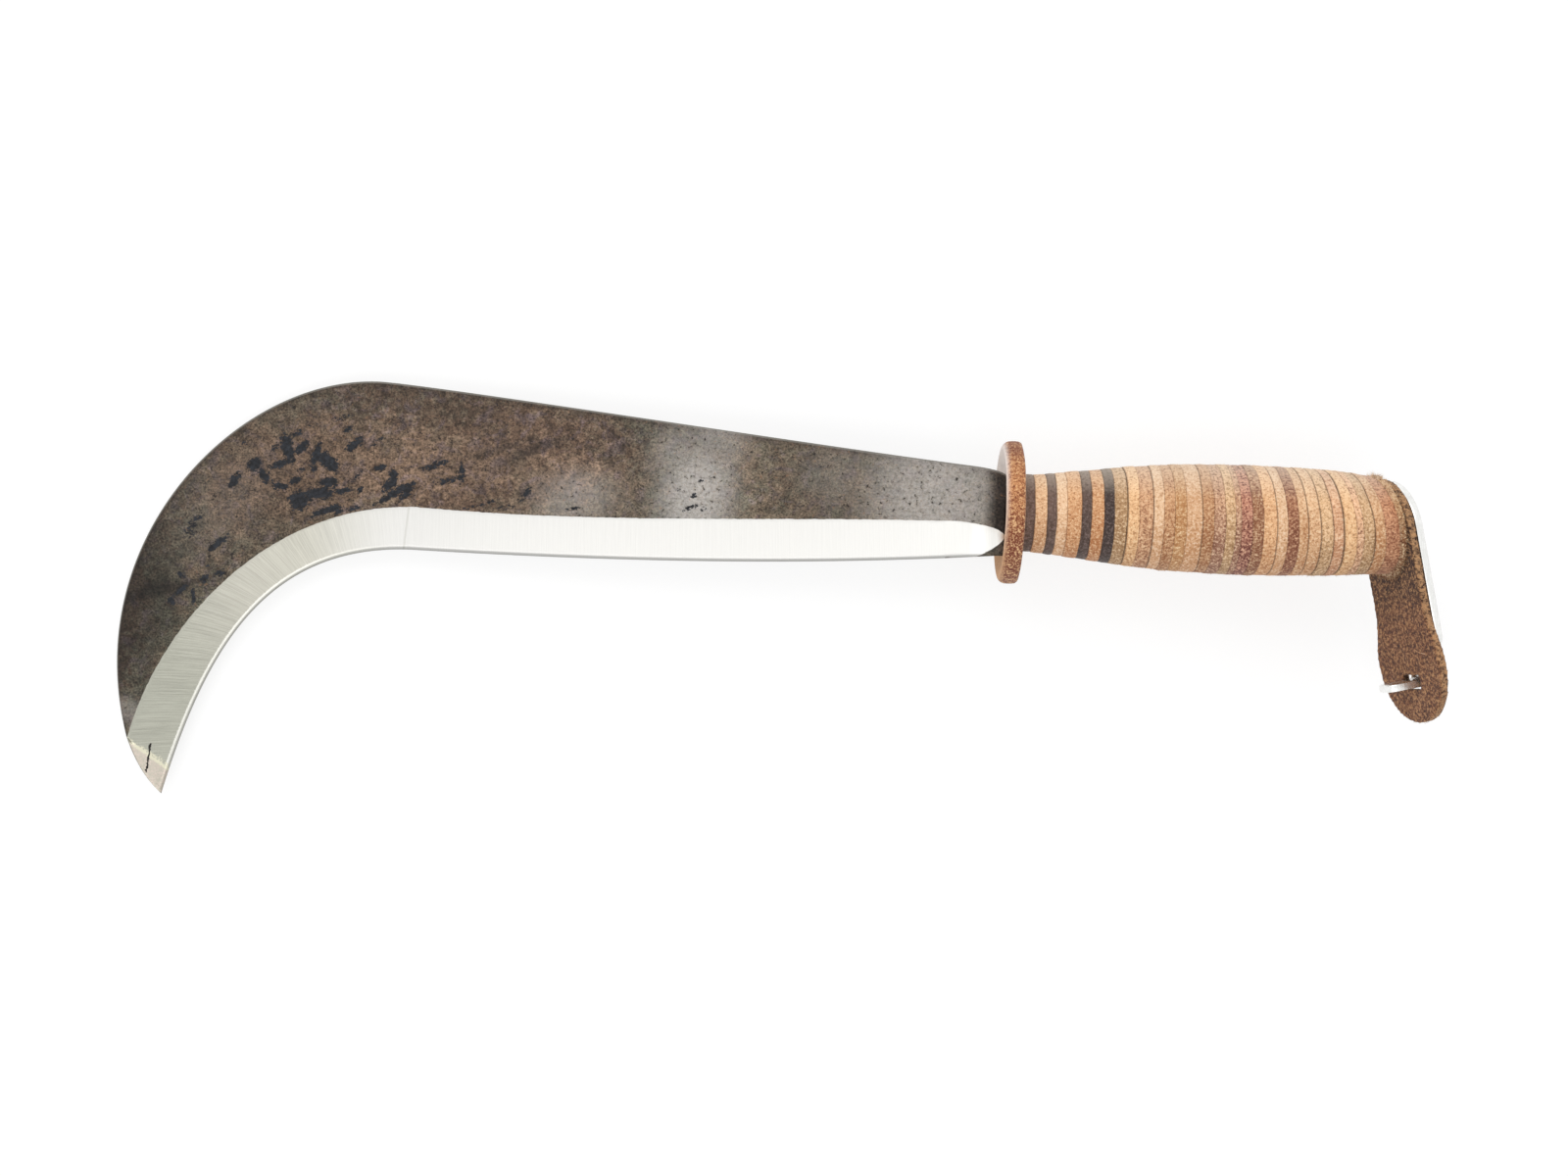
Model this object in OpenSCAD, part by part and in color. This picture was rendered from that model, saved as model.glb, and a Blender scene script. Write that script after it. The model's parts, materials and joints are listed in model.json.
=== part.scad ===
// Billhook with a grip of stacked leather discs and a belt hook at the butt.
// The origin is on the grip's axis, where the blade's shoulder meets the guard.
// +X runs along the grip towards the butt, +Y towards the blade's back, +Z out of its flat side.

/* [Blade] */
// Length from the shoulder to the foremost point of the beak
blade_len = 286; // [270:1:310]
// Thickness at the shoulder
blade_t = 6; // [5.6:0.1:8]
// Thickness at the foremost point of the beak
beak_t = 4; // [3:0.1:5]
// Height of the back above the grip's axis, at the shoulder
back_root_y = 14.7; // [13:0.1:18]
// Distance from the shoulder to the highest point of the back
crest_x = 204; // [196:1:212]
// Height of the back's highest point above the grip's axis
crest_y = 36; // [30:0.5:42]
// Depth of the cutting edge below the grip's axis, at the heel
heel_y = 14.2; // [13:0.1:17]
// Depth of the cutting edge below the grip's axis, where the hook begins
throat_y = 18.4; // [16:0.1:22]
// Distance from the shoulder to where the hook begins
throat_x = 192; // [184:1:198]
// Depth of the point below the grip's axis
tip_y = 100.5; // [92:0.5:108]
// Distance that the point lies back from the beak's foremost point
tip_back = 15.5; // [12:0.5:20]
// Depth of the beak's foremost point below the grip's axis
beak_y = 55; // [50:1:60]
// Width of the ground bevel on the straight part of the edge
bevel_w = 13.9; // [11:0.1:16]
// Width of the ground bevel across the beak
beak_bevel_w = 20; // [17:0.5:23]
// Thickness left at the cutting edge
edge_t = 0.3; // [0.2:0.05:0.6]
// Length over which the bevel runs out at the heel
runout_len = 14; // [8:0.5:20]

/* [Tang] */
// Width of the flat tang inside the grip
tang_w = 12; // [9:0.5:14]
// Thickness of the flat tang
tang_t = 5; // [3.5:0.1:5.4]
// Diameter of the round stud at the tang's end
stud_d = 6; // [5:0.1:7]
// Diameter of the peened head
head_d = 11; // [9:0.1:13]
// Height of the peened head
head_h = 2.8; // [2:0.1:4]
// Clearance round the tang in the guard and the discs
tang_clear = 0.15; // [0.05:0.05:0.5]
// Clearance round the stud in the lining, the strap and the washer
stud_clear = 0.1; // [0.05:0.05:0.4]

/* [Grip] */
// Diameter of the guard disc
guard_d = 47; // [42:0.5:54]
// Thickness of the guard disc
guard_t = 6.4; // [4:0.1:9]
// Radius that rounds the guard's rim
guard_round = 1.6; // [0.4:0.1:1.9]
// Grip diameter next to the guard
neck_d = 25; // [23:0.5:28]
// Grip diameter at its thickest
belly_d = 35.8; // [33:0.2:38]
// Distance from the guard to the thickest part of the grip
belly_at = 65; // [56:1:74]
// Grip diameter at the butt
butt_d = 32.4; // [31:0.2:34]
// Diameter of the last disc, which stands proud of the grip
end_d = 35.6; // [33:0.2:37]
// Radius that rounds the last disc's rim
end_round = 0.7; // [0.2:0.1:0.8]
// How far the last disc leans sideways, in degrees
side_lean = 12; // [0:0.5:16]
// How far the last disc leans towards the front, in degrees
front_lean = 10; // [0:0.5:12]

/* [Belt hook] */
// Width of the hook's straight part
hook_w = 36; // [30:0.5:39]
// Width of the lining's rounded end
spoon_w = 45; // [41:0.5:50]
// Reach of the hook above the stud
hook_top = 14.8; // [13:0.2:18]
// Length of the lining below the stud
lining_len = 66; // [62:0.5:72]
// Thickness of the leather lining
lining_t = 2.8; // [2:0.1:5]
// Thickness of the steel strap
strap_t = 2.4; // [1.8:0.1:3]
// Distance below the stud where the strap starts to narrow
strap_narrow_y = 38; // [34:0.5:40]
// Distance from the stud to the tongue's upper face
tongue_y = 51.6; // [50:0.1:53]
// Width of the tongue
tongue_w = 10; // [7:0.5:13]
// Reach of the tongue in front of the lining
tongue_reach = 10; // [6:0.2:15]
// Inner radius of the tongue's bend
tongue_bend = 1; // [0.5:0.1:1.2]
// Free space above the tongue's bend in the slit
slit_gap = 0.4; // [0.2:0.1:1]
// Free space below the tongue and at its sides
slit_clear = 0.7; // [0.3:0.1:1.2]
// Diameter of the butt washer
washer_d = 17; // [14:0.5:20]
// Thickness of the butt washer
washer_t = 1.6; // [1:0.1:2.4]

/* [Hidden] */
$fn = 64;
// The leathers that the discs are cut from
black = "#3a332f";
tan = "#bc9068";
pale = "#c9a480";
orange = "#bf8552";
golden = "#c39a60";
olive = "#a98f64";
brown = "#a27252";
russet = "#b07a4e";
mauve = "#9a7567";
burgundy = "#8c4740";
oxblood = "#98604a";
rose = "#c69478";
// Each disc's thickness and leather, from the guard to the butt
discs = [
    [4.0, black], [4.0, tan], [2.9, black], [3.4, pale], [4.5, orange], [3.2, black],
    [3.9, orange], [3.3, black], [4.0, olive], [3.7, golden], [4.5, brown], [3.3, pale],
    [3.4, russet], [3.6, golden], [5.0, pale], [3.6, russet], [3.6, mauve], [3.0, olive],
    [1.8, mauve], [3.5, burgundy], [3.4, brown], [4.1, orange], [3.3, pale], [3.4, oxblood],
    [3.0, tan], [3.8, tan], [3.8, olive], [3.2, rose], [3.8, golden], [2.1, mauve],
    [3.4, olive], [3.3, tan], [4.3, oxblood], [1.8, golden]
];
disc_count = len(discs);
function total(i) = i == 0 ? 0 : total(i - 1) + discs[i - 1][0];
grip_len = total(disc_count);
grip_end = guard_t + grip_len;

// Points on a curve from p to q, leaving along p_out and arriving along q_in
function span(p, p_out, q, q_in, n = 14) = [
    for (i = [1 : n]) let (t = i / n, s = 1 - t)
        s * s * s * p + 3 * s * s * t * (p + p_out) + 3 * s * t * t * (q - q_in) + t * t * t * q
];
// Points on a circular arc, centre c, from angle a to angle b
function arc(c, r, a, b, n = 8) = [
    for (i = [0 : n]) let (t = a + (b - a) * i / n) c + r * [cos(t), sin(t)]
];
function flip_y(points) = [for (i = [len(points) - 1 : -1 : 0]) [points[i].x, -points[i].y]];

// Anchor points of the blade's outline
shoulder_round = [0.6 * back_root_y, 0.22 * back_root_y];
heel = [0, -heel_y];
throat = [-throat_x, -throat_y];
tip = [-blade_len + tip_back, -tip_y];
beak = [-blade_len, -beak_y];
crest = [-crest_x, crest_y];
back_root = [-shoulder_round.x, back_root_y];
shoulder = [0, back_root_y - shoulder_round.y];

// Lengths between the anchor points, from which the curves take their bow
back_rise = crest - back_root;
brow_w = blade_len - crest_x;
brow_h = crest_y + beak_y;
chin_h = tip_y - beak_y;
hook_w_inside = blade_len - tip_back - throat_x;
hook_h_inside = tip_y - throat_y;

// The direction that each curve takes at its anchor points
shoulder_out = [0, 0.56 * shoulder_round.y];
root_in = [-0.47 * shoulder_round.x, 0.13 * shoulder_round.y];
root_out = [0.287 * back_rise.x, 0.258 * back_rise.y];
crest_in = [0.072 * back_rise.x, 0];
crest_out = [-0.488 * brow_w, 0];
beak_in = [0, -0.549 * brow_h];
beak_out = [0, -0.374 * chin_h];
tip_in = [0.71 * tip_back, -0.209 * chin_h];
tip_out = [0.166 * hook_w_inside, 0.579 * hook_h_inside];
throat_in = [0.6 * hook_w_inside, 0];
throat_out = [0.365 * throat_x, -0.109 * throat_y];
heel_in = [0.3125 * throat_x, 0.366 * heel_y];

edge_belly = span(throat, throat_out, heel, heel_in, 28);
edge_hook = span(tip, tip_out, throat, throat_in, 24);
back = concat(
    span(shoulder, shoulder_out, back_root, root_in, 6),
    span(back_root, root_out, crest, crest_in, 20),
    span(crest, crest_out, beak, beak_in, 32),
    span(beak, beak_out, tip, tip_in, 14)
);
blade_outline = concat([shoulder], back, edge_hook, edge_belly);

// The grind line, where each bevel meets its cheek, point for point opposite the edge
heel_narrowing = 0.23 * bevel_w;
tip_facet = [0.2 * beak_bevel_w, 0.825 * beak_bevel_w];
grind_heel = [-0.57 * runout_len, -heel_y + bevel_w - heel_narrowing];
grind_throat = throat + [0.14 * bevel_w, bevel_w];
grind_tip = [-blade_len, -tip_y] + tip_facet;
grind_throat_out = [0.323 * throat_x, -0.288 * bevel_w];
grind_heel_in = [0.3125 * throat_x, -0.02 * bevel_w];
grind_tip_out = [0.45 * beak_bevel_w, 1.95 * beak_bevel_w];
grind_throat_in = [0.611 * hook_w_inside, 0];
grind_belly = span(grind_throat, grind_throat_out, grind_heel, grind_heel_in, 28);
grind_hook = span(grind_tip, grind_tip_out, grind_throat, grind_throat_in, 24);

// Each bevel starts past the point and ends before the shoulder
past_tip = [-0.175 * beak_bevel_w, -0.6 * beak_bevel_w];
edge_line = concat([tip + past_tip, tip], edge_hook, edge_belly);
grind_line = concat([grind_tip + past_tip, grind_tip], grind_hook, grind_belly);
// The cutting solid's share past the edge and the grind line, its rise at the heel and its top
bevel_over = 0.14;
bevel_lift = 0.3;
bevel_clear = 3;

// The cheeks thin evenly as far as the back's highest point, and then faster and faster to the beak
taper_bow = 0.25;
function half_t(x) =
    let (past_crest = max(0, -x - crest_x) / brow_w)
    (blade_t + (blade_t - beak_t) * ((1 - taper_bow) * x / blade_len - taper_bow * past_crest * past_crest)) / 2;
function runout(x) = x < -runout_len ? 0 : pow((x + runout_len) / runout_len, 2);

// One station of a bevel's cutting solid: inner and outer end of its sloping face, then its top
function bevel_station(e, g) =
    let (
        out = runout(e.x),
        lift = bevel_lift * out,
        z_g = half_t(g.x) + lift,
        z_e = (1 - out) * edge_t / 2 + out * half_t(e.x) + lift,
        inner = g + (g - e) * bevel_over,
        outer = e + (e - g) * bevel_over,
        rise = (z_g - z_e) * bevel_over
    ) [
        [inner.x, inner.y, z_g + rise],
        [outer.x, outer.y, z_e - rise],
        [outer.x, outer.y, blade_t / 2 + bevel_clear],
        [inner.x, inner.y, blade_t / 2 + bevel_clear]
    ];

module bevel_cutter() {
    count = len(edge_line);
    stations = [for (i = [0 : count - 1]) each bevel_station(edge_line[i], grind_line[i])];
    sides = [
        for (i = [0 : count - 2]) for (k = [0 : 3])
            let (a = 4 * i + k, b = 4 * i + (k + 1) % 4)
            each [[a, b, b + 4], [a, b + 4, a + 4]]
    ];
    last = 4 * (count - 1);
    ends = [[0, 2, 1], [0, 3, 2], [last, last + 1, last + 2], [last, last + 2, last + 3]];
    polyhedron(stations, concat(sides, ends), convexity = 6);
}

// Both cheeks are flat as far as the back's highest point, and bend together towards the beak
module cheeks() {
    bend_steps = 20;
    bend = [for (i = [0 : bend_steps]) -crest_x - (brow_w + blade_t) * i / bend_steps];
    side = [for (x = concat([blade_t], bend)) [x, half_t(x)]];
    rotate([90, 0, 0]) linear_extrude(4 * tip_y, center = true) polygon(concat(side, flip_y(side)));
}

// Places a piece at the butt: its X axis leaves the last disc squarely
module at_butt(lean = 1, x = grip_end) {
    translate([x, 0, 0]) rotate([0, front_lean * lean, side_lean * lean]) children();
}

// Depth of the stud inside the grip, and its bite into the peened head
stud_root = 1.67 * stud_d;
stud_bite = 0.2;
// How far the flat tang starts inside the blade
tang_root = tang_w;
stack_t = lining_t + strap_t + washer_t;

// The tang's flat part with clearance c, or the hole for it
module tang_bar(c = 0) {
    translate([-tang_root, -tang_w / 2 - c, -tang_t / 2 - c])
        cube([tang_root + grip_end - stud_root / 2 + c, tang_w + 2 * c, tang_t + 2 * c]);
}

module stud(c = 0) {
    at_butt() translate([-stud_root, 0, 0]) rotate([0, 90, 0])
        cylinder(h = stud_root + stack_t + stud_bite, d = stud_d + 2 * c);
}

module peened_head() {
    rim = 0.2 * head_h;
    dome = [for (a = [0 : 10 : 90]) [head_d / 2 * cos(a), rim + (head_h - rim) * sin(a)]];
    at_butt() translate([stack_t, 0, 0]) rotate([0, 90, 0])
        rotate_extrude() polygon(concat([[0, 0], [head_d / 2, 0]], dome));
}

module blade() {
    color("#4a4540") {
        difference() {
            intersection() {
                linear_extrude(2 * blade_t, center = true) polygon(blade_outline);
                cheeks();
            }
            bevel_cutter();
            mirror([0, 0, 1]) bevel_cutter();
        }
        tang_bar();
        stud();
        peened_head();
    }
}

// A disc of diameter d and thickness t with a rounded rim, standing on the YZ plane
module round_disc(d, t, round) {
    rim = d / 2 - round;
    rotate([0, 90, 0]) rotate_extrude() polygon(concat(
        [[0, 0]],
        arc([rim, round], round, -90, 0),
        arc([rim, t - round], round, 0, 90),
        [[0, t]]
    ));
}

module guard() {
    color("#b06a3c") difference() {
        round_disc(guard_d, guard_t, guard_round);
        tang_bar(tang_clear);
    }
}

// The grip as one turned form, from which all discs but the last are sliced
belly_x = guard_t + belly_at;
neck = [guard_t, neck_d / 2];
belly = [belly_x, belly_d / 2];
butt = [grip_end, butt_d / 2];
neck_swell = belly - neck;
butt_taper = butt - belly;
// The direction that the profile's curves take at these points
neck_out = [0.24 * neck_swell.x, 0.09 * neck_swell.y];
belly_in = [0.46 * neck_swell.x, 0.04 * neck_swell.y];
belly_out = [0.31 * butt_taper.x, 0];
butt_in = [0.39 * butt_taper.x, 0.7 * butt_taper.y];
// How far the turned form runs past the last disc, so that a leaning disc is still whole
lean_room = 0.25 * butt_d;
grip_profile = concat(
    [[0, 0], [0, neck.y], neck],
    span(neck, neck_out, belly, belly_in, 18),
    span(belly, belly_out, butt, butt_in, 14),
    [butt + [lean_room, 0.3 * butt_taper.y], [grip_end + lean_room, 0]]
);

module grip_form() {
    rotate([0, 90, 0]) rotate_extrude() polygon([for (p = grip_profile) [p.y, p.x]]);
}

// The seams lean more and more towards the last disc, which has parallel faces
last_seam = total(disc_count - 1);
function lean_share(i) = pow(total(i) / last_seam, 3);

// All that lies beyond the seam in front of disc i, counted from 0 at the guard
module beyond_seam(i) {
    side = 2 * belly_d;
    at_butt(lean_share(i), guard_t + total(i))
        translate([0, -side / 2, -side / 2]) cube([grip_len + side, side, side]);
}

module disc(i) {
    last = i == disc_count;
    t = (grip_len - last_seam) * cos(side_lean) * cos(front_lean);
    color(discs[i - 1][1]) difference() {
        if (last)
            at_butt() translate([-t, 0, 0]) round_disc(end_d, t, end_round);
        else
            intersection() {
                grip_form();
                beyond_seam(i - 1);
            }
        if (!last) beyond_seam(i);
        tang_bar(tang_clear);
        if (grip_len - total(i) < 2 * stud_root) stud(tang_clear);
    }
}

// Half of the hook's outline below the stud, in the plane of its face
half_w = hook_w / 2;
half_spoon = spoon_w / 2;
spoon_round = 0.85 * half_spoon;
crown_h = 0.86 * half_w;
// The bow that makes a curve a quarter of a round, and the slightly fuller one of the lining's end
round_bow = 0.5523;
spoon_bow = 0.58;
strap_inset = 0.5 * strap_t;
spoon_y = -lining_len + spoon_round;
// The lining starts to widen one rounding above its round end
widen = [spoon_y + spoon_round, half_w];
widen_run = [-0.42 * spoon_round, 0];
spoon_out = [-spoon_bow * spoon_round, 0];
spoon_in = [0, -spoon_bow * half_spoon];
hook_crown = concat(
    [[hook_top, 0]],
    span([hook_top, 0], [0, round_bow * half_w], [hook_top - crown_h, half_w], [-round_bow * crown_h, 0], 8)
);
lining_half = concat(
    hook_crown,
    [widen],
    span(widen, widen_run, [spoon_y, half_spoon], widen_run, 8),
    span([spoon_y, half_spoon], spoon_out, [-lining_len, 0], spoon_in, 12)
);
strap_crown = [for (p = hook_crown) p - [strap_inset, 0]];
// The strap narrows in an S from its straight sides to the tongue
strap_foot = -tongue_y + tongue_bend;
strap_narrow = [-strap_narrow_y, half_w];
narrow_h = tongue_y - strap_narrow_y;
neck_end = [strap_foot + 0.23 * narrow_h, 0.64 * tongue_w];
neck_end_in = [-0.16 * narrow_h, -0.3 * tongue_w];
strap_half = concat(
    strap_crown,
    [strap_narrow],
    span(strap_narrow, [-0.23 * narrow_h, -0.04 * tongue_w], neck_end, neck_end_in, 8),
    [[strap_foot + 0.05 * narrow_h, tongue_w / 2], [strap_foot, tongue_w / 2]]
);

// Stands a flat outline, drawn as (up, across), square to the butt's axis
module hook_plate(half, from, thick) {
    at_butt() translate([from, 0, 0]) rotate([90, 0, 90])
        linear_extrude(thick) polygon(concat(half, flip_y(half)));
}

module hook_lining() {
    slit_top = -tongue_y + tongue_bend + slit_gap;
    slit_h = tongue_bend + strap_t + slit_gap + slit_clear;
    slit_w = tongue_w + 2 * slit_clear;
    color("#6b4231") difference() {
        hook_plate(lining_half, 0, lining_t);
        stud(stud_clear);
        at_butt() translate([-1, slit_top - slit_h, -slit_w / 2]) cube([lining_t + 2, slit_h, slit_w]);
    }
}

// The tongue: the strap's end, bent square through the slit
module tongue() {
    c = [lining_t - tongue_bend, -tongue_y + tongue_bend];
    corner = 0.3 * tongue_w;
    reach = [-tongue_reach, -tongue_y];
    at_butt() intersection() {
        linear_extrude(tongue_w, center = true) polygon(concat(
            [[lining_t, strap_foot], [lining_t + strap_t, strap_foot]],
            arc(c, tongue_bend + strap_t, 0, -90, 10),
            [reach - [0, strap_t], reach],
            arc(c, tongue_bend, -90, 0, 6)
        ));
        rotate([90, 0, 0]) linear_extrude(2 * lining_len) polygon(concat(
            [[2 * lining_t + strap_t, tongue_w], [-tongue_reach + corner, tongue_w / 2]],
            arc([-tongue_reach + corner, tongue_w / 2 - corner], corner, 90, 180, 6),
            arc([-tongue_reach + corner, corner - tongue_w / 2], corner, 180, 270, 6),
            [[2 * lining_t + strap_t, -tongue_w]]
        ));
    }
}

module hook_strap() {
    color("#b9bcba") {
        difference() {
            hook_plate(strap_half, lining_t, strap_t);
            stud(stud_clear);
        }
        tongue();
    }
}

module butt_washer() {
    color("#8d8f8e") difference() {
        at_butt() translate([lining_t + strap_t, 0, 0]) rotate([0, 90, 0])
            cylinder(h = washer_t, d = washer_d);
        stud(stud_clear);
    }
}

function disc_name(i) = str("disc_", i < 10 ? "0" : "", i);
disc_nodes = [for (i = [1 : disc_count]) disc_name(i)];

blade();
guard();
for (i = [1 : disc_count])
    disc(i);
hook_lining();
hook_strap();
butt_washer();
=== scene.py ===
import json
import random
from math import cos, exp, hypot, pi, radians, sin, sqrt, tan

import bpy
from mathutils import Matrix, Vector, noise

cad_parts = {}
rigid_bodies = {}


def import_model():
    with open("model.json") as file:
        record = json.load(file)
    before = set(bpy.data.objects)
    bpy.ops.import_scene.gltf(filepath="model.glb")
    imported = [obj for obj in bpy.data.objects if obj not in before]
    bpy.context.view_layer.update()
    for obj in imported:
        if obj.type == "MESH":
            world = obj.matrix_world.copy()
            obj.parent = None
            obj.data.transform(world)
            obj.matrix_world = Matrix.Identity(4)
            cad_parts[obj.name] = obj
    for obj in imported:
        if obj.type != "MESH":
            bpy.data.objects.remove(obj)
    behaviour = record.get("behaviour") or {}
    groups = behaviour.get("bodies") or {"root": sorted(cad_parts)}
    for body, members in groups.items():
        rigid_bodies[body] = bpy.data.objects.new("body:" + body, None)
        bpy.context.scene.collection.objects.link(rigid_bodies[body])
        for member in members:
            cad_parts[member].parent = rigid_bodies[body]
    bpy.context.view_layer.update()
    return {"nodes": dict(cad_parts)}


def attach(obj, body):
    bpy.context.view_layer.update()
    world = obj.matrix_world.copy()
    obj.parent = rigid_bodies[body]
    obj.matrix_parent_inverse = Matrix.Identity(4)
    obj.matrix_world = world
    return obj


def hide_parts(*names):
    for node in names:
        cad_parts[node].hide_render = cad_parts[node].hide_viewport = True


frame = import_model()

MM = 0.001
# Points closer than this, in metres, are one point
SAME_PLACE = 0.000002
random.seed(11)

# ---- Camera, floor and light ----

# The photograph looks straight down on the flat side, turned a little against the grip's axis
view_turn = radians(1.843)
view_centre, view_height, view_width = (-0.0694, -0.0270), 0.740, 0.512
sensor = 36
bpy.ops.object.camera_add(location=(*view_centre, view_height), rotation=(0, 0, view_turn))
camera = bpy.context.object
camera.name = "camera"
camera.data.sensor_fit = "HORIZONTAL"
camera.data.sensor_width = sensor
camera.data.lens = sensor * view_height / view_width
camera.data.clip_start = 0.01
bpy.context.scene.camera = camera
bpy.context.scene.view_settings.view_transform = "Standard"


def linear(hex_colour):
    """The linear colour of an sRGB hex value."""
    values = [int(hex_colour[i:i + 2], 16) / 255 for i in (1, 3, 5)]
    return [v / 12.92 if v <= 0.04045 else ((v + 0.055) / 1.055) ** 2.4 for v in values] + [1]


def blank(owner):
    """Empties the node tree of a material or the world. Returns put, the function that adds nodes to it."""
    owner.use_nodes = True
    tree = owner.node_tree
    tree.nodes.clear()

    def put(kind, *values, **named):
        """Adds a node. The values fill its sockets in use, in their order, a capitalised name fills the
        socket of that name, and any other name is a setting. A value is a number, a vector, a hex colour,
        or another node or its output, to be linked."""
        node = tree.nodes.new("ShaderNode" + kind)
        for name, value in named.items():
            if name[0].islower():
                setattr(node, name, value)
        filled = list(zip([socket for socket in node.inputs if socket.enabled], values))
        filled += [(node.inputs[name.replace("_", " ")], value) for name, value in named.items()
                   if name[0].isupper()]
        for socket, value in filled:
            if isinstance(value, bpy.types.Node):
                value = next(output for output in value.outputs if output.enabled)
            if isinstance(value, bpy.types.NodeSocket):
                tree.links.new(value, socket)
            else:
                socket.default_value = linear(value) if isinstance(value, str) else value
        return node

    return put


def new_material(name):
    """A new material, the function that adds its nodes, and its Object coordinates in mm."""
    material = bpy.data.materials.new(name)
    put = blank(material)
    mm = put("Mapping", put("TexCoord").outputs["Object"], Scale=(1000, 1000, 1000))
    return material, put, mm


def select(*pieces):
    """Selects these pieces and nothing else. The first becomes the active one."""
    if bpy.context.object and bpy.context.object.mode != "OBJECT":
        bpy.ops.object.mode_set(mode="OBJECT")
    bpy.ops.object.select_all(action="DESELECT")
    for piece in pieces:
        piece.select_set(True)
    if pieces:
        bpy.context.view_layer.objects.active = pieces[0]


def edit(*pieces):
    """Opens the first of these pieces for editing, with its whole mesh selected."""
    select(*pieces)
    bpy.ops.object.mode_set(mode="EDIT")
    bpy.ops.mesh.select_all(action="SELECT")


# The blade's point and the guard's rim rest on the floor, so it slopes a little under the tool
floor_z, floor_slope_x, floor_slope_y = -0.02380, -0.0788, 0.0512
select()
bpy.ops.mesh.primitive_circle_add(vertices=96, radius=0.42, fill_type="NGON", location=(-0.085, -0.02, 0))
floor = bpy.context.object
floor.name = "floor"
bpy.ops.object.transform_apply()
for vertex in floor.data.vertices:
    vertex.co.z = floor_z + floor_slope_x * (vertex.co.x - 0.003) + floor_slope_y * vertex.co.y

# To the camera the floor is white paper that keeps the tool's shadow, and to the tool a plain grey one
WHITE = (1, 1, 1, 1)
paper = bpy.data.materials.new("white_background_paper")
put = blank(paper)
path = put("LightPath")
seen = put("Math", path.outputs["Is Camera Ray"], path.outputs["Is Glossy Ray"], operation="MAXIMUM")
grey = put("BsdfDiffuse", (0.30, 0.30, 0.30, 1))
shadow_catcher = put("AddShader", grey, put("Emission", WHITE, 0.74))
plain_paper = put("BsdfDiffuse", (0.75, 0.75, 0.75, 1))
put("OutputMaterial", Surface=put("MixShader", seen, plain_paper, shadow_catcher))
floor.data.materials.append(paper)

world = bpy.data.worlds.new("soft_studio")
bpy.context.scene.world = world
put = blank(world)
path = put("LightPath")
seen = put("Math", path.outputs["Is Camera Ray"], path.outputs["Is Glossy Ray"], operation="MAXIMUM")
seen = put("Math", seen, path.outputs["Is Transmission Ray"], operation="MAXIMUM")
room, white = put("Background", WHITE, 0.68), put("Background", WHITE, 1)
put("OutputWorld", Surface=put("MixShader", seen, room, white))


def softbox(name, place, target, width, depth, power):
    """A large rectangular lamp at place, in metres, facing target."""
    bpy.ops.object.light_add(type="AREA", location=place)
    lamp = bpy.context.object
    lamp.name = name
    lamp.data.shape = "RECTANGLE"
    lamp.data.size = width
    lamp.data.size_y = depth
    lamp.data.energy = power
    lamp.rotation_euler = (Vector(target) - Vector(place)).to_track_quat("-Z", "Y").to_euler()


softbox("window_softbox", (-0.30, 0.75, 0.95), (-0.05, 0, 0), 1.2, 0.9, 6)
softbox("front_softbox", (-0.10, -0.62, 1.05), (-0.08, 0, 0), 1.3, 0.65, 3.6)


# ---- Sizes of the source that the pieces follow, in mm ----

guard_t = 6.4
disc_t = [4.0, 4.0, 2.9, 3.4, 4.5, 3.2, 3.9, 3.3, 4.0, 3.7, 4.5, 3.3, 3.4, 3.6, 5.0, 3.6, 3.6, 3.0,
          1.8, 3.5, 3.4, 4.1, 3.3, 3.4, 3.0, 3.8, 3.8, 3.2, 3.8, 2.1, 3.4, 3.3, 4.3, 1.8]
disc_leather = ("black tan black pale orange black orange black olive golden brown pale russet golden "
                "pale russet mauve olive mauve burgundy brown orange pale oxblood tan tan olive rose "
                "golden mauve olive tan oxblood golden").split()
# How much darker than its leather each disc has worn, and paler where it is negative
disc_worn = [-0.3, -0.15, -0.2, -0.2, 0.05, 0.05, 0.2, 0.5, 0.3, -0.25, -0.35, -0.1, -0.05, 0.5, 0.25, 0.1,
             0.2, -0.05, 0.25, 0, 0.35, -0.25, 0, 0.35, 0.05, -0.15, -0.3, 0, -0.45, -0.4, 0, 0.15, -0.35,
             0.15]
grip_len = sum(disc_t)
grip_end = guard_t + grip_len
side_lean = radians(12)
front_lean = radians(10)
blade_len = 286
lining_t, strap_t, washer_t = 2.8, 2.4, 1.6
end_r, end_round = 17.8, 0.7
slit_y, slit_half_w = 51.6, 5.7


def butt_turn(lean):
    """The turn of a seam that has leaned by this share of the last disc's lean."""
    return Matrix.Rotation(side_lean * lean, 3, "Z") @ Matrix.Rotation(front_lean * lean, 3, "Y")


butt = butt_turn(1)
butt_inverse = butt.inverted()
butt_centre = Vector((grip_end, 0, 0))


def from_butt(point):
    """A point of the butt's own frame, in mm: out of the last disc, up along the hook, across."""
    return butt @ Vector(point) + butt_centre


def to_butt(point, normal):
    """A point and a normal in the butt's own frame, and whether the point lies in the lining's slit."""
    local = butt_inverse @ (point - butt_centre)
    return local, butt_inverse @ normal, abs(local.y + slit_y) < 5 and abs(local.z) < slit_half_w + 1


def clamp(value, low=0, high=1):
    """The value, kept between low and high."""
    return min(high, max(low, value))


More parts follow.
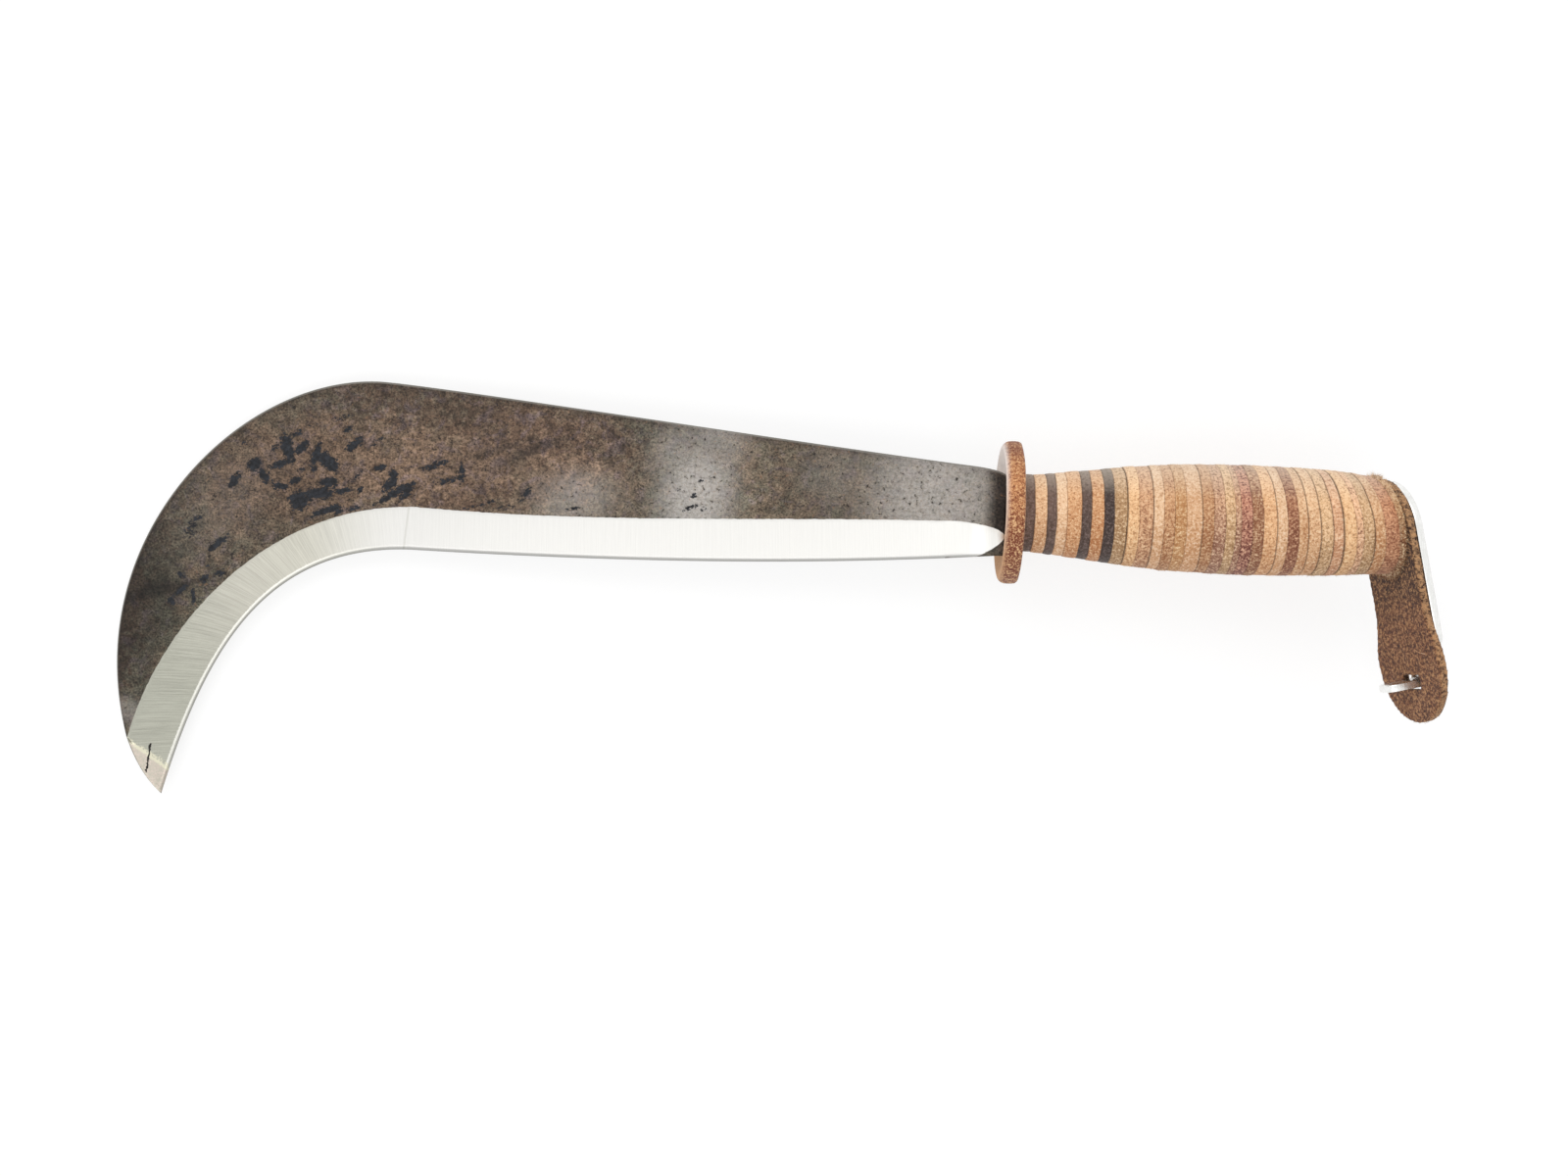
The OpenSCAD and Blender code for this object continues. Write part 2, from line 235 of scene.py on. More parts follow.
def curve(p, p_out, q, q_in, count=60):
    """Points on a curve from p to q, leaving along p_out and arriving along q_in."""
    p, q = Vector(p), Vector(q)
    a, b = p + Vector(p_out), q - Vector(q_in)
    points = []
    for i in range(count + 1):
        t = i / count
        s = 1 - t
        points.append(s * s * s * p + 3 * s * s * t * a + 3 * s * t * t * b + t * t * t * q)
    return points


def run_lengths(points):
    """The length of the line up to each of its points."""
    lengths = [0]
    for a, b in zip(points, points[1:]):
        lengths.append(lengths[-1] + (b - a).length)
    return lengths


def evenly(points, count):
    """The same line as count equal steps."""
    lengths = run_lengths(points)
    spaced, k = [], 0
    for i in range(count + 1):
        want = lengths[-1] * i / count
        while k < len(points) - 2 and lengths[k + 1] < want:
            k += 1
        step = lengths[k + 1] - lengths[k]
        share = min(1, (want - lengths[k]) / step) if step else 0
        spaced.append(points[k].lerp(points[k + 1], share))
    return spaced


def wrapped(around, along, place):
    """A grid of cells wrapped into a body: place(i, j) is the point of column i and row j, in mm."""
    select()
    bpy.ops.mesh.primitive_grid_add(x_subdivisions=around, y_subdivisions=along, size=1)
    piece = bpy.context.object
    for k, vertex in enumerate(piece.data.vertices):
        vertex.co = Vector(place(k % (around + 1), k // (around + 1))) * MM
    return piece


def close_seams(piece, cap=False):
    """Joins the grid's meeting rims, caps what stays open if asked, and turns the faces outwards."""
    edit(piece)
    bpy.ops.mesh.remove_doubles(threshold=SAME_PLACE)
    if cap:
        bpy.ops.mesh.select_all(action="DESELECT")
        bpy.ops.mesh.select_mode(type="EDGE")
        bpy.ops.mesh.select_non_manifold(extend=False, use_wire=False, use_multi_face=False,
                                         use_non_contiguous=False, use_verts=False)
        bpy.ops.mesh.edge_face_add()
    bpy.ops.mesh.select_all(action="SELECT")
    bpy.ops.mesh.normals_make_consistent(inside=False)
    bpy.ops.object.mode_set(mode="OBJECT")
    bpy.ops.object.shade_smooth()


def fit(piece, name, material, slot, *nodes):
    """Names a finished piece, gives it its material and puts it in its CAD node's place."""
    piece.name = piece.data.name = name
    piece.data.materials.clear()
    piece.data.materials.append(material)
    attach(piece, "root")
    if nodes:
        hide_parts(*nodes)


def mark(piece, name, values):
    """Writes one number for each vertex, for the piece's material to read."""
    layer = piece.data.attributes.new(name, "FLOAT", "POINT")
    layer.data.foreach_set("value", values)


def copy_of_node(node):
    """A merged copy of a CAD node's mesh, selected and active."""
    select(frame["nodes"][node])
    bpy.ops.object.duplicate()
    piece = bpy.context.object
    bpy.ops.object.parent_clear(type="CLEAR_KEEP_TRANSFORM")
    for key in list(piece.keys()):
        del piece[key]
    edit(piece)
    bpy.ops.mesh.remove_doubles(threshold=SAME_PLACE)
    bpy.ops.mesh.normals_make_consistent(inside=False)
    bpy.ops.object.mode_set(mode="OBJECT")
    return piece


def finish_modifier(piece, kind, **settings):
    """Adds a modifier with its settings and applies it."""
    select(piece)
    modifier = piece.modifiers.new(kind.lower(), kind)
    for key, value in settings.items():
        setattr(modifier, key, value)
    bpy.ops.object.modifier_apply(modifier=modifier.name)


def ripple(x, y, z, size, seed=0.0):
    """Smooth unevenness from -1 to 1, with bumps about size mm across."""
    return noise.noise(Vector((x / size + seed, y / size + 2 * seed, z / size - seed)))


# ---- Materials ----

def forged_steel(point_from):
    """Hand-forged carbon steel. The cheeks keep their fire scale, a mottled brown-grey oxide skin with
    blue-black flakes where the thick scale held, and the belt-ground bevel is bare bright metal with
    fine lines across the edge. The burnt skin is porous, so it hardly glints. The ground attribute says
    which is which, in mm from the grind line, and point_from is where the last facet at the point
    starts, in mm along the bevel."""
    material, put, mm = new_material("forged_steel_fire_scale_and_belt_ground_bevel")
    ground, from_back, from_edge, along, belt_line, flake, warm, blotch, sheen, soot_and_guard_shade, tone = [
        put("Attribute", attribute_name=name).outputs["Fac"] for name in (
            "ground", "from_back", "from_edge", "along", "belt_line", "flake", "warm", "blotch", "sheen",
            "soot_and_guard_shade", "tone")]
    broad, oxide, violet, clumps, grain, patchiness, rust, ragged, grind_line, wander = [
        put("TexNoise", Vector=mm, Scale=scale, Detail=detail, Roughness=rough, Distortion=distortion)
        for scale, detail, rough, distortion in (
            (0.15, 6, 0.68, 0),     # mottling about 9 mm across
            (0.42, 8, 0.68, 0.6),   # patches of brown oxide, 2 to 4 mm across
            (0.2, 4, 0.6, 1.2),     # violet clouds, about 6 mm across
            (0.28, 5, 0.72, 0.5),   # clumps of grains, about 3 mm across
            (1.45, 3, 0.75, 0),     # the scale's grains, about 0.6 mm across
            (0.8, 6, 0.8, 0), (0.8, 2, 0.6, 0.4), (1.3, 4, 0.7, 0), (0.6, 3, 0.5, 0), (1.1, 3, 0.5, 0))]

    # Cheek: from greenish grey to purplish brown, with the brown oxide close together where the blotch
    # attribute is high, dark soot streaks, painted shade where the blade goes into the guard, a dark brown
    # rim along the spine and a pebbled grain
    tint = put("MapRange", put("Math", broad, warm, operation="ADD"), 0.42, 0.92)
    patches = put("Math", blotch, 0.16, oxide, operation="MULTIPLY_ADD")
    patches = put("MapRange", patches, 0.52, 0.66, 0, 0.72)
    violet = put("MapRange", violet, 0.52, 0.66, 0, 0.42)
    rim = put("MapRange", from_back, 0.9, 2.8, 0.66, 0)
    clumps = put("MapRange", clumps, 0.35, 0.65, 0.54, 1.46)
    pebbles = put("MapRange", grain, 0.35, 0.65, 0.30, 1.72)
    # Painted reflections of the lamps on the hammered cheeks: paler grey patches, broken up by noise
    patchiness = put("MapRange", patchiness, 0.36, 0.62, 0.34, 1.12)
    painted_sheen_share = put("Math", patchiness, sheen, operation="MULTIPLY", use_clamp=True)
    # Single grains of orange rust, fewer where the scale is thick and dark, and black pits
    open_scale = put("MapRange", tone, 0.50, 0.80)
    orange = put("MapRange", rust, 0.65, 0.71, 0, 0.5)
    orange = put("Math", orange, open_scale, operation="MULTIPLY")
    pits = put("MapRange", rust, 0.36, 0.31, 0, 0.85)
    # Pale line along the spine's rounded corner: a painted highlight where the rounding catches the light
    corner = put("MapRange", from_back, 0.02, 0.12, 0.2)
    painted_spine_highlight = put("MapRange", from_back, 0.50, 0.85, 0.75, 0)
    painted_spine_highlight = put("Math", painted_spine_highlight, corner, operation="MULTIPLY")
    # Flakes of thick blue-black scale, 1 to 5 mm, where the flake attribute is high. They broke off along
    # straight edges: cells of about 1 mm, turned with the hammer's strokes, decide how far each one reaches
    shaken = put("VectorMath", ragged.outputs["Color"], (2.0, 2.0, 2.0), mm, operation="MULTIPLY_ADD")
    strokes = put("Mapping", shaken, Rotation=(0, 0, radians(-40)), Scale=(0.8, 1.25, 0.9))
    cells = put("TexVoronoi", Vector=strokes, Scale=1.35, distance="CHEBYCHEV")
    chance = put("SeparateColor", cells.outputs["Color"])
    chance = put("Math", chance, 0.56, flake, operation="MULTIPLY_ADD")
    chance = put("Math", grain, 0.9, chance, operation="MULTIPLY_ADD")
    flakes = put("MapRange", chance, 1.22, 1.28)
    bluish = put("MapRange", patchiness, 0.55, 1.12)
    flake_colour = put("Mix", bluish, "#17171a", "#2e3137", data_type="RGBA")
    scale_colour = "#5d594c"
    for share, over, blend in (
            (tint, "#75604f", "MIX"), (patches, "#4b392e", "MIX"), (violet, "#665a60", "MIX"),
            (soot_and_guard_shade, "#2b2522", "MIX"), (rim, "#40342c", "MIX"), (1, tone, "MULTIPLY"),
            (1, clumps, "MULTIPLY"), (1, pebbles, "MULTIPLY"), (painted_sheen_share, "#c0bbb6", "MIX"),
            (orange, "#82624a", "MIX"), (pits, "#1f1b1a", "MIX"), (painted_spine_highlight, "#85827b", "MIX"),
            (flakes, flake_colour, "MIX")):
        scale_colour = put("Mix", share, scale_colour, over, data_type="RGBA", blend_type=blend)

    # Bevel: lines of the grinding belt across the edge, 0.25 to 0.6 mm apart, drawn so that they show.
    # It is brightest on the straight edge and turns creamy and duller round the hook, where it turns away
    # from the light and the lines show more.
    belt = put("CombineXYZ", belt_line, from_edge)
    belt = put("Mapping", belt, Scale=(2.8, 0.05, 1))
    lines = put("TexNoise", Vector=belt, Scale=1, Detail=4, Roughness=0.75, noise_dimensions="2D")
    turning = put("MapRange", along, 194, 234, interpolation_type="SMOOTHSTEP")
    turned = put("MapRange", along, 256, 294)
    shown = put("MapRange", turning, 0, 1, 0.30, 1.0)
    line_tone = put("MapRange", lines, 0.34, 0.66, -0.15, 0.13)
    line_tone = put("Math", line_tone, shown, 1.0, operation="MULTIPLY_ADD")
    # At the heel the ground nose lies nearly flat, and shines
    nose = put("MapRange", along, 12, 3)
    # The belt was set down again just before the hook, which left a fine line
    stop = put("Math", put("Math", along, 194.5, operation="SUBTRACT"), operation="ABSOLUTE")
    stop = put("MapRange", stop, 0.5, 0.2, 0, 0.35)
    # Honed strip along the hook's inside, and the grey line of the edge itself
    honed = put("Math", ragged, 1.1, from_edge, operation="MULTIPLY_ADD")
    honed = put("Math", put("MapRange", honed, 2.20, 1.95, 0, 0.85), turning, operation="MULTIPLY")
    edge_grey = put("MapRange", turning, 0, 1, 0.18, 0.55)
    edge = put("Math", put("MapRange", from_edge, 0.70, 0.45), edge_grey, operation="MULTIPLY")
    # The last facet at the point was dressed on a coarser stone: pinkish grey and blotched, with a paler
    # lip where it meets the bevel
    facet = put("Math", ragged, 3.4, along, operation="MULTIPLY_ADD")
    facet = put("MapRange", facet, point_from + 1.4, point_from + 1.7)
    smudges = put("MapRange", ragged, 0.36, 0.64)
    lip = put("Math", ragged, 5.0, along, operation="MULTIPLY_ADD")
    lip = put("MapRange", lip, point_from + 5.0, point_from + 4.0, 0, 0.9)
    facet_colour = put("Mix", smudges, "#a5a295", "#b8aca2", data_type="RGBA")
    facet_colour = put("Mix", lip, facet_colour, "#c1bea9", data_type="RGBA")
    ground_colour = "#bdbcb9"
    for share, over, blend in (
            (turning, "#a6a49a", "MIX"), (nose, "#e4e3df", "MIX"), (turned, "#9b9b90", "MIX"),
            (1, line_tone, "MULTIPLY"), (stop, "#98978f", "MIX"), (honed, "#c6c5be", "MIX"),
            (edge, "#8b8a84", "MIX"), (facet, facet_colour, "MIX")):
        ground_colour = put("Mix", share, ground_colour, over, data_type="RGBA", blend_type=blend)

    # The grind line is a little uneven
    bare = put("Math", grind_line, 0.5, ground, operation="MULTIPLY_ADD")
    bare = put("MapRange", bare, 0.16, 0.34)
    # A cold shut left by the forging shows as a thin, broken black crack near the point, which nearly
    # closes at places along its length
    crack_place = put("Mapping", mm, Location=(274.8, 89.0, 0))
    axes = put("SeparateXYZ", put("Mapping", crack_place, Rotation=(0, 0, radians(-83))))
    wander = put("Math", wander, 0.5, operation="SUBTRACT")
    across = put("Math", wander, 1.1, axes.outputs["Y"], operation="MULTIPLY_ADD")
    across = put("Math", across, operation="ABSOLUTE")
    across = put("Math", ragged, 0.9, across, operation="MULTIPLY_ADD")
    reach = put("Math", axes.outputs["X"], operation="ABSOLUTE")
    reach = put("MapRange", reach, 5.0, 4.6)
    crack = put("Math", put("MapRange", across, 0.78, 0.68), reach, operation="MULTIPLY")
    colour = put("Mix", bare, scale_colour, ground_colour, data_type="RGBA")
    colour = put("Mix", crack, colour, "#1d1a17", data_type="RGBA")

    scale_roughness = put("Mix", flakes, put("MapRange", painted_sheen_share, 0, 1, 0.50, 0.36), 0.34)
    roughness = put("Mix", bare, scale_roughness, put("MapRange", lines, 0, 1, 0.24, 0.40))
    solid = put("Math", 1, crack, operation="SUBTRACT")
    metal = put("Math", put("MapRange", bare, 0, 1, 0.22, 1), solid, operation="MULTIPLY")
    # Relief: pebbled scale and the flakes' edges on the cheek, belt lines on the bevel
    relief = put("Math", flakes, 0.5, grain, operation="MULTIPLY_ADD")
    relief = put("Math", patches, -0.4, relief, operation="MULTIPLY_ADD")
    relief = put("Mix", bare, relief, put("Math", lines, 0.35, operation="MULTIPLY"))
    relief = put("Math", crack, -3, relief, operation="MULTIPLY_ADD")
    bump = put("Bump", Height=relief, Strength=0.7, Distance=0.00010)
    surface = put("BsdfPrincipled", Base_Color=colour, Roughness=roughness, Metallic=metal,
                  Specular_IOR_Level=0.25, Normal=bump)
    put("OutputMaterial", Surface=surface)
    return material


def cut_leather(name, body, deep, fleck, speckle, depth, top_light_share=0.42):
    """Vegetable-tanned leather seen on its cut edge: a fibrous, slightly furry surface in the hide's
    colour, with pale fibre ends and dark pits between them as strong as speckle says. It is darker with
    each disc's wear, with painted shade on the lower side and where the rim curves away from the light,
    and paler with a painted highlight on the upper side. The grain_side attribute marks the hide's smooth,
    paler face."""
    material, put, mm = new_material(name)
    seam, grain_side, wear_and_shade = [put("Attribute", attribute_name=attribute).outputs["Fac"]
                                 for attribute in ("seam", "grain_side", "wear_and_shade")]
    # Each hide drifts in tone over about 10 mm
    drift = put("TexNoise", Vector=mm, Scale=0.13, Detail=3, Roughness=0.55)
    drift = put("MapRange", drift, 0.36, 0.66)
    # Layers of the hide run round the grip, 0.3 to 0.8 mm apart
    layers = put("Mapping", mm, Scale=(2.0, 0.09, 0.09))
    layers = put("TexNoise", Vector=layers, Scale=1, Detail=3, Roughness=0.65)
    layers = put("MapRange", layers, 0.3, 0.7)
    tone = put("Math", drift, layers, operation="ADD")
    tone = put("Math", tone, 0.32, wear_and_shade, operation="MULTIPLY_ADD")
    # The lower side is painted darker, as shade where it lies in its own shadow, and the upper side paler, as
    # a painted highlight where the light from above falls on it
    height = put("SeparateXYZ", mm).outputs["Y"]
    low = put("MapRange", height, 8, -18, 0, 0.64)
    tone = put("Math", tone, low, operation="ADD", use_clamp=True)
    painted_top_light = put("MapRange", height, 6, 17, 0, top_light_share)
    downwards = put("MapRange", height, 16, -15)
    smooth = put("Mix", downwards, "#fff2ea", "#d8a475", data_type="RGBA")
    # Fibre ends and the pits between them, about 0.8 mm across, drawn a third coarser than real. They show
    # most on the lower side.
    fibres = put("TexNoise", Vector=mm, Scale=1.25, Detail=3, Roughness=0.85)
    cut = put("Math", 1, grain_side, operation="SUBTRACT")
    strong = put("Math", low, 0.9, 1.0, operation="MULTIPLY_ADD")
    strong = put("Math", strong, cut, operation="MULTIPLY")
    ends = put("MapRange", fibres, 0.50, 0.66, 0, speckle)
    ends = put("Math", ends, strong, operation="MULTIPLY", use_clamp=True)
    pits = put("MapRange", fibres, 0.49, 0.34, 0, speckle * 1.3)
    pits = put("Math", pits, strong, operation="MULTIPLY", use_clamp=True)
    dark_pits = put("Math", pits, 0.45, operation="MULTIPLY")
    # The seam attribute darkens each rim into the grooves between discs: painted shade
    colour = body
    for share, over in ((tone, deep), (painted_top_light, "#fff0da"), (grain_side, smooth), (ends, fleck),
                        (pits, deep), (dark_pits, "#4a2415"), (seam, "#3b2517")):
        colour = put("Mix", share, colour, over, data_type="RGBA")
    bump = put("Bump", Height=fibres, Strength=0.8, Distance=depth)
    surface = put("BsdfPrincipled", Base_Color=colour, Roughness=0.85, Sheen_Weight=0.12,
                  Sheen_Roughness=0.5, Normal=bump)
    put("OutputMaterial", Surface=surface)
    return material


# Each leather's body, darker and fibre colours, and how much its fibres and pits show. The darker colour
# serves both wear and painted shade
LEATHERS = {
    "black": ("#725b4f", "#322621", "#9c857f", 0.40),
    "tan": ("#f2c598", "#bc8355", "#fde7c3", 0.55),
    "pale": ("#f5cea6", "#cb9465", "#fcead0", 0.50),
    "orange": ("#f1be8d", "#b77747", "#fcdfb6", 0.55),
    "golden": ("#f7c694", "#bb8452", "#fde4b9", 0.55),
    "olive": ("#ebbe8f", "#a37c53", "#fadeba", 0.60),
    "brown": ("#d9a47a", "#8a5537", "#f2d0a8", 0.65),
    "russet": ("#dea97b", "#9c643c", "#f3d2a8", 0.60),
    "mauve": ("#f2be92", "#8f6049", "#fddab8", 0.65),
    "burgundy": ("#cd8a6e", "#652c26", "#efbc9c", 0.85),
    "oxblood": ("#cb906a", "#824b32", "#edbf97", 0.65),
    "rose": ("#f8c599", "#bb7f59", "#fde5c5", 0.55),
}


def suede(name, body, deep, fleck):
    """Brown suede: the split side of the hide, with a short raised nap that scatters light, so that it
    looks matt and deep brown, in faint cloudy strokes where the nap lies differently, with paler fibre
    tips. The rim attribute marks its golden cut edge, and shaded the part against the discs."""
    material, put, mm = new_material(name)
    rim, shaded = [put("Attribute", attribute_name=attribute).outputs["Fac"]
                   for attribute in ("rim", "shaded")]
    strokes = put("TexNoise", Vector=mm, Scale=0.2, Detail=5, Roughness=0.7, Distortion=0.5)
    strokes = put("MapRange", strokes, 0.30, 0.70, 0, 0.55)
    strokes = put("Math", strokes, shaded, operation="ADD", use_clamp=True)
    nap = put("TexNoise", Vector=mm, Scale=0.95, Detail=4, Roughness=0.8)
    tips = put("MapRange", nap, 0.50, 0.60, 0, 0.9)
    pits = put("MapRange", nap, 0.50, 0.40, 0, 1.0)
    colour = body
    for share, over in ((strokes, deep), (rim, "#ad8763"), (tips, fleck), (pits, deep)):
        colour = put("Mix", share, colour, over, data_type="RGBA")
    bump = put("Bump", Height=nap, Strength=0.9, Distance=0.00025)
    surface = put("BsdfPrincipled", Base_Color=colour, Roughness=0.9, Sheen_Weight=0.06,
                  Sheen_Roughness=0.45, Normal=bump)
    put("OutputMaterial", Surface=surface)
    return material


def rolled_steel(name, colour_low, colour_high, roughness_low, roughness_high):
    """Cold-rolled mild steel with fine scratches along the strap and a few dull spots."""
    material, put, mm = new_material(name)
    drawn = put("Mapping", mm, Rotation=(0, 0, radians(-14)), Scale=(3, 0.12, 3))
    scratches = put("TexNoise", Vector=drawn, Scale=1, Detail=4, Roughness=0.65)
    spots = put("TexNoise", Vector=mm, Scale=0.35, Detail=5, Roughness=0.7)
    mixed = put("Math", scratches, spots, operation="MULTIPLY")
    mixed = put("MapRange", mixed, 0.12, 0.40)
    colour = put("Mix", mixed, colour_low, colour_high, data_type="RGBA")
    roughness = put("MapRange", mixed, 0, 1, roughness_high, roughness_low)
    bump = put("Bump", Height=scratches, Strength=0.5, Distance=0.00003)
    surface = put("BsdfPrincipled", Base_Color=colour, Metallic=1, Roughness=roughness, Normal=bump)
    put("OutputMaterial", Surface=surface)
    return material


# ---- Blade ----

# The blade's thickness at the guard, and how much each half thins over the blade and past the crest
blade_t, tapered, beak_tapered = 6, 0.75, 0.25


def half_t(x):
    """Half the blade's thickness at x: it thins evenly as far as the crest, and then faster to the beak."""
    past_crest = max(0, crest[0] - x) / (blade_len + crest[0])
    return (blade_t + 2 * (tapered * min(0, x) / blade_len - beak_tapered * past_crest ** 2)) / 2


# The shoulder is pressed 2.2 mm into the leather guard
sunk = 2.2
heel, throat, tip, beak = (0, -14.2), (-192, -18.4), (-270.5, -100.5), (-286, -55)
crest, back_root, shoulder = (-204, 36), (-8.6, 14.7), (sunk, 11.4)
grind_heel, grind_throat, grind_tip = (-8, -3.5), (-190, -4.5), (-282, -84)
facet_share = 0.535
belly_steps, hook_steps, tip_steps = 170, 170, 12

beak_to_tip = curve(beak, (0, -17), tip, (11, -9.5), 100)
tip_corner = round(100 * facet_share)
edge_hook_line = curve(tip, (13, 47.5), throat, (47, 0), 120)[::-1]
facet_edge = len(edge_hook_line) - 8

corner_step = belly_steps + hook_steps
stations = corner_step + tip_steps
back_line = curve(shoulder, (0, 1.8), back_root, (-4, 0.4))
back_line = evenly(back_line + curve(back_root, (-56, 5.5), crest, (-14, 0))[1:], belly_steps)
back_line += evenly(curve(crest, (-40, 0), beak, (0, -50)) + beak_to_tip[1:tip_corner + 1], hook_steps)[1:]
back_line += evenly(beak_to_tip[tip_corner:], tip_steps)[1:]
edge_line = [Vector((sunk, heel[1]))] + curve(throat, (70, -2), heel, (60, 5.2))[::-1]
edge_line = evenly(edge_line, belly_steps)
edge_line += evenly(edge_hook_line[:facet_edge + 1], hook_steps)[1:]
edge_line += evenly(edge_hook_line[facet_edge:], tip_steps)[1:]
grind_line = [Vector((sunk, -3.4))] + curve(grind_throat, (62, -4), grind_heel, (60, -0.3))[::-1]
grind_line = evenly(grind_line, belly_steps)
grind_line += evenly(curve(grind_tip, (9, 39), grind_throat, (48, 0))[::-1], hook_steps)[1:]
# It bends into the point's corner over its last steps
bend_steps = 20
for step in range(bend_steps + 1):
    k = corner_step - bend_steps + step
    grind_line[k] = grind_line[k].lerp(beak_to_tip[tip_corner], (step / bend_steps) ** 3)
grind_line += back_line[corner_step + 1:]

# Rows of the section, the spine's rounding, half the point's thickness, the cutting edge's thickness, the
# small bevel's width and half thickness, and the length over which the bevel ends at the heel
cheek_rows, bevel_rows = 46, 16
spine_r, point_t = 0.9, 0.15
cutting_t, small_bevel, small_bevel_z = 0.3, 1.5, 0.42
nose_len = 14

# Lengths from the heel along the grind line and along the edge
along_line, edge_run = run_lengths(grind_line), run_lengths(edge_line)


def belt_line(i, x, y):
    """Which line of the grinding belt a point near station i lies on, in mm along the edge. The lines
    stand square to the edge, and turn by up to 22 degrees round the last of the hook."""
    at = min(((edge_line[k].x - x) ** 2 + (edge_line[k].y - y) ** 2, k)
             for k in range(max(1, i - 60), min(stations - 1, i + 60) + 1))[1]
    feet = []
    for k in (at - 1, at):
        a, b = edge_line[k], edge_line[k + 1]
        step = b - a
        t = clamp(((x - a.x) * step.x + (y - a.y) * step.y) / max(0.0001, step.length_squared))
        feet.append((hypot(a.x + t * step.x - x, a.y + t * step.y - y), edge_run[k] + t * step.length))
    near, run = min(feet)
    return run - near * tan(radians(22) * clamp((run - 215) / 60))


def heel_ground(x, y):
    """How far inside the ground nose at the heel a point lies: the bevel ends there in a rounded point."""
    upper = -3.3 - 0.0078 * max(0, x + 17.7) ** 2
    lower = -15.2 + 0.15 * max(0, x + 9.5) ** 1.5
    past_end = max(0, x + 2.5)
    return min(upper - y, y - lower) - 0.06 * past_end ** 2


def half_section(i):
    """One station of the upper half: (point, mm past the grind line, from the back and from the edge)."""
    b, g, e = back_line[i], grind_line[i], edge_line[i]
    past_corner = i - corner_step
    cheek_w, bevel_w = (g - b).length, (e - g).length
    inward = (g - b) if cheek_w > 0.01 else (e - b)
    inward = inward.normalized() if inward.length else Vector((1, 0))
    r = min(spine_r, 0.45 * cheek_w)
    top = half_t(b.x)
    if past_corner > 0:
        top = point_t + (half_t(g.x) - point_t) * (1 - past_corner / tip_steps)
    rows = [(b.x, b.y, z, -cheek_w, 0, cheek_w + bevel_w) for z in (0, top - r)]
    for angle in (30, 60):
        a = radians(angle)
        sunk_in = r * (1 - cos(a))
        p = b + inward * sunk_in
        rows.append((p.x, p.y, top - r + r * sin(a), -cheek_w, 0.1 + sunk_in, cheek_w + bevel_w))
    for k in range(cheek_rows):
        d = r + (cheek_w - r) * k / (cheek_rows - 1)
        p = b + inward * d if cheek_w > 0.01 else b
        # The hammer left the cheeks a little uneven
        fade = min(1, d / 4, (cheek_w - d) / 2)
        dent = 0.10 * (ripple(p.x, p.y, 0, 24) + 1) + 0.03 * (ripple(p.x, p.y, 5, 7) + 1)
        z = half_t(p.x) if past_corner <= 0 else top
        rows.append((p.x, p.y, z - dent * max(0, fade), d - cheek_w, d, cheek_w - d + bevel_w))
    g_z = half_t(g.x) if past_corner <= 0 else top
    for k in range(1, bevel_rows + 1):
        d = (bevel_w - min(small_bevel, 0.4 * bevel_w)) * k / bevel_rows
        p = g.lerp(e, d / bevel_w) if bevel_w > 0.01 else g
        z = g_z + (small_bevel_z - g_z) * k / bevel_rows if g_z > small_bevel_z else g_z
        rows.append((p.x, p.y, z, d, cheek_w + d, bevel_w - d))
    rows.append((e.x, e.y, min(cutting_t / 2, g_z), bevel_w, cheek_w + bevel_w, 0))
    rows.append((e.x, e.y, 0, bevel_w, cheek_w + bevel_w, 0))
    # The bevel runs out into the full thickness over the last of the blade before the heel
    done = []
    for x, y, z, ground, from_back, from_edge in rows:
        if x > -nose_len and ground > 0 and z > 0:
            z += (half_t(x) - z) * min(1, (x + nose_len) / nose_len) ** 2
        if ground > -1 and x > -17.7:
            ground = heel_ground(x, y)
        done.append(((x, y, z), ground, from_back, from_edge))
    return done


halves = [half_section(i) for i in range(stations + 1)]
half_rows = len(halves[0])
ring = 2 * (half_rows - 1)


def blade_row(i, j):
    """Station i, row j of the whole ring: the upper half, then the lower half back to the spine."""
    j = j % ring
    if j < half_rows:
        return *halves[i][j], 1
    return *halves[i][ring - j], -1


def blade_point(row, station):
    """A point of the blade's ring, in mm."""
    (x, y, z), _, _, _, side = blade_row(station, row)
    return x, y, z * side


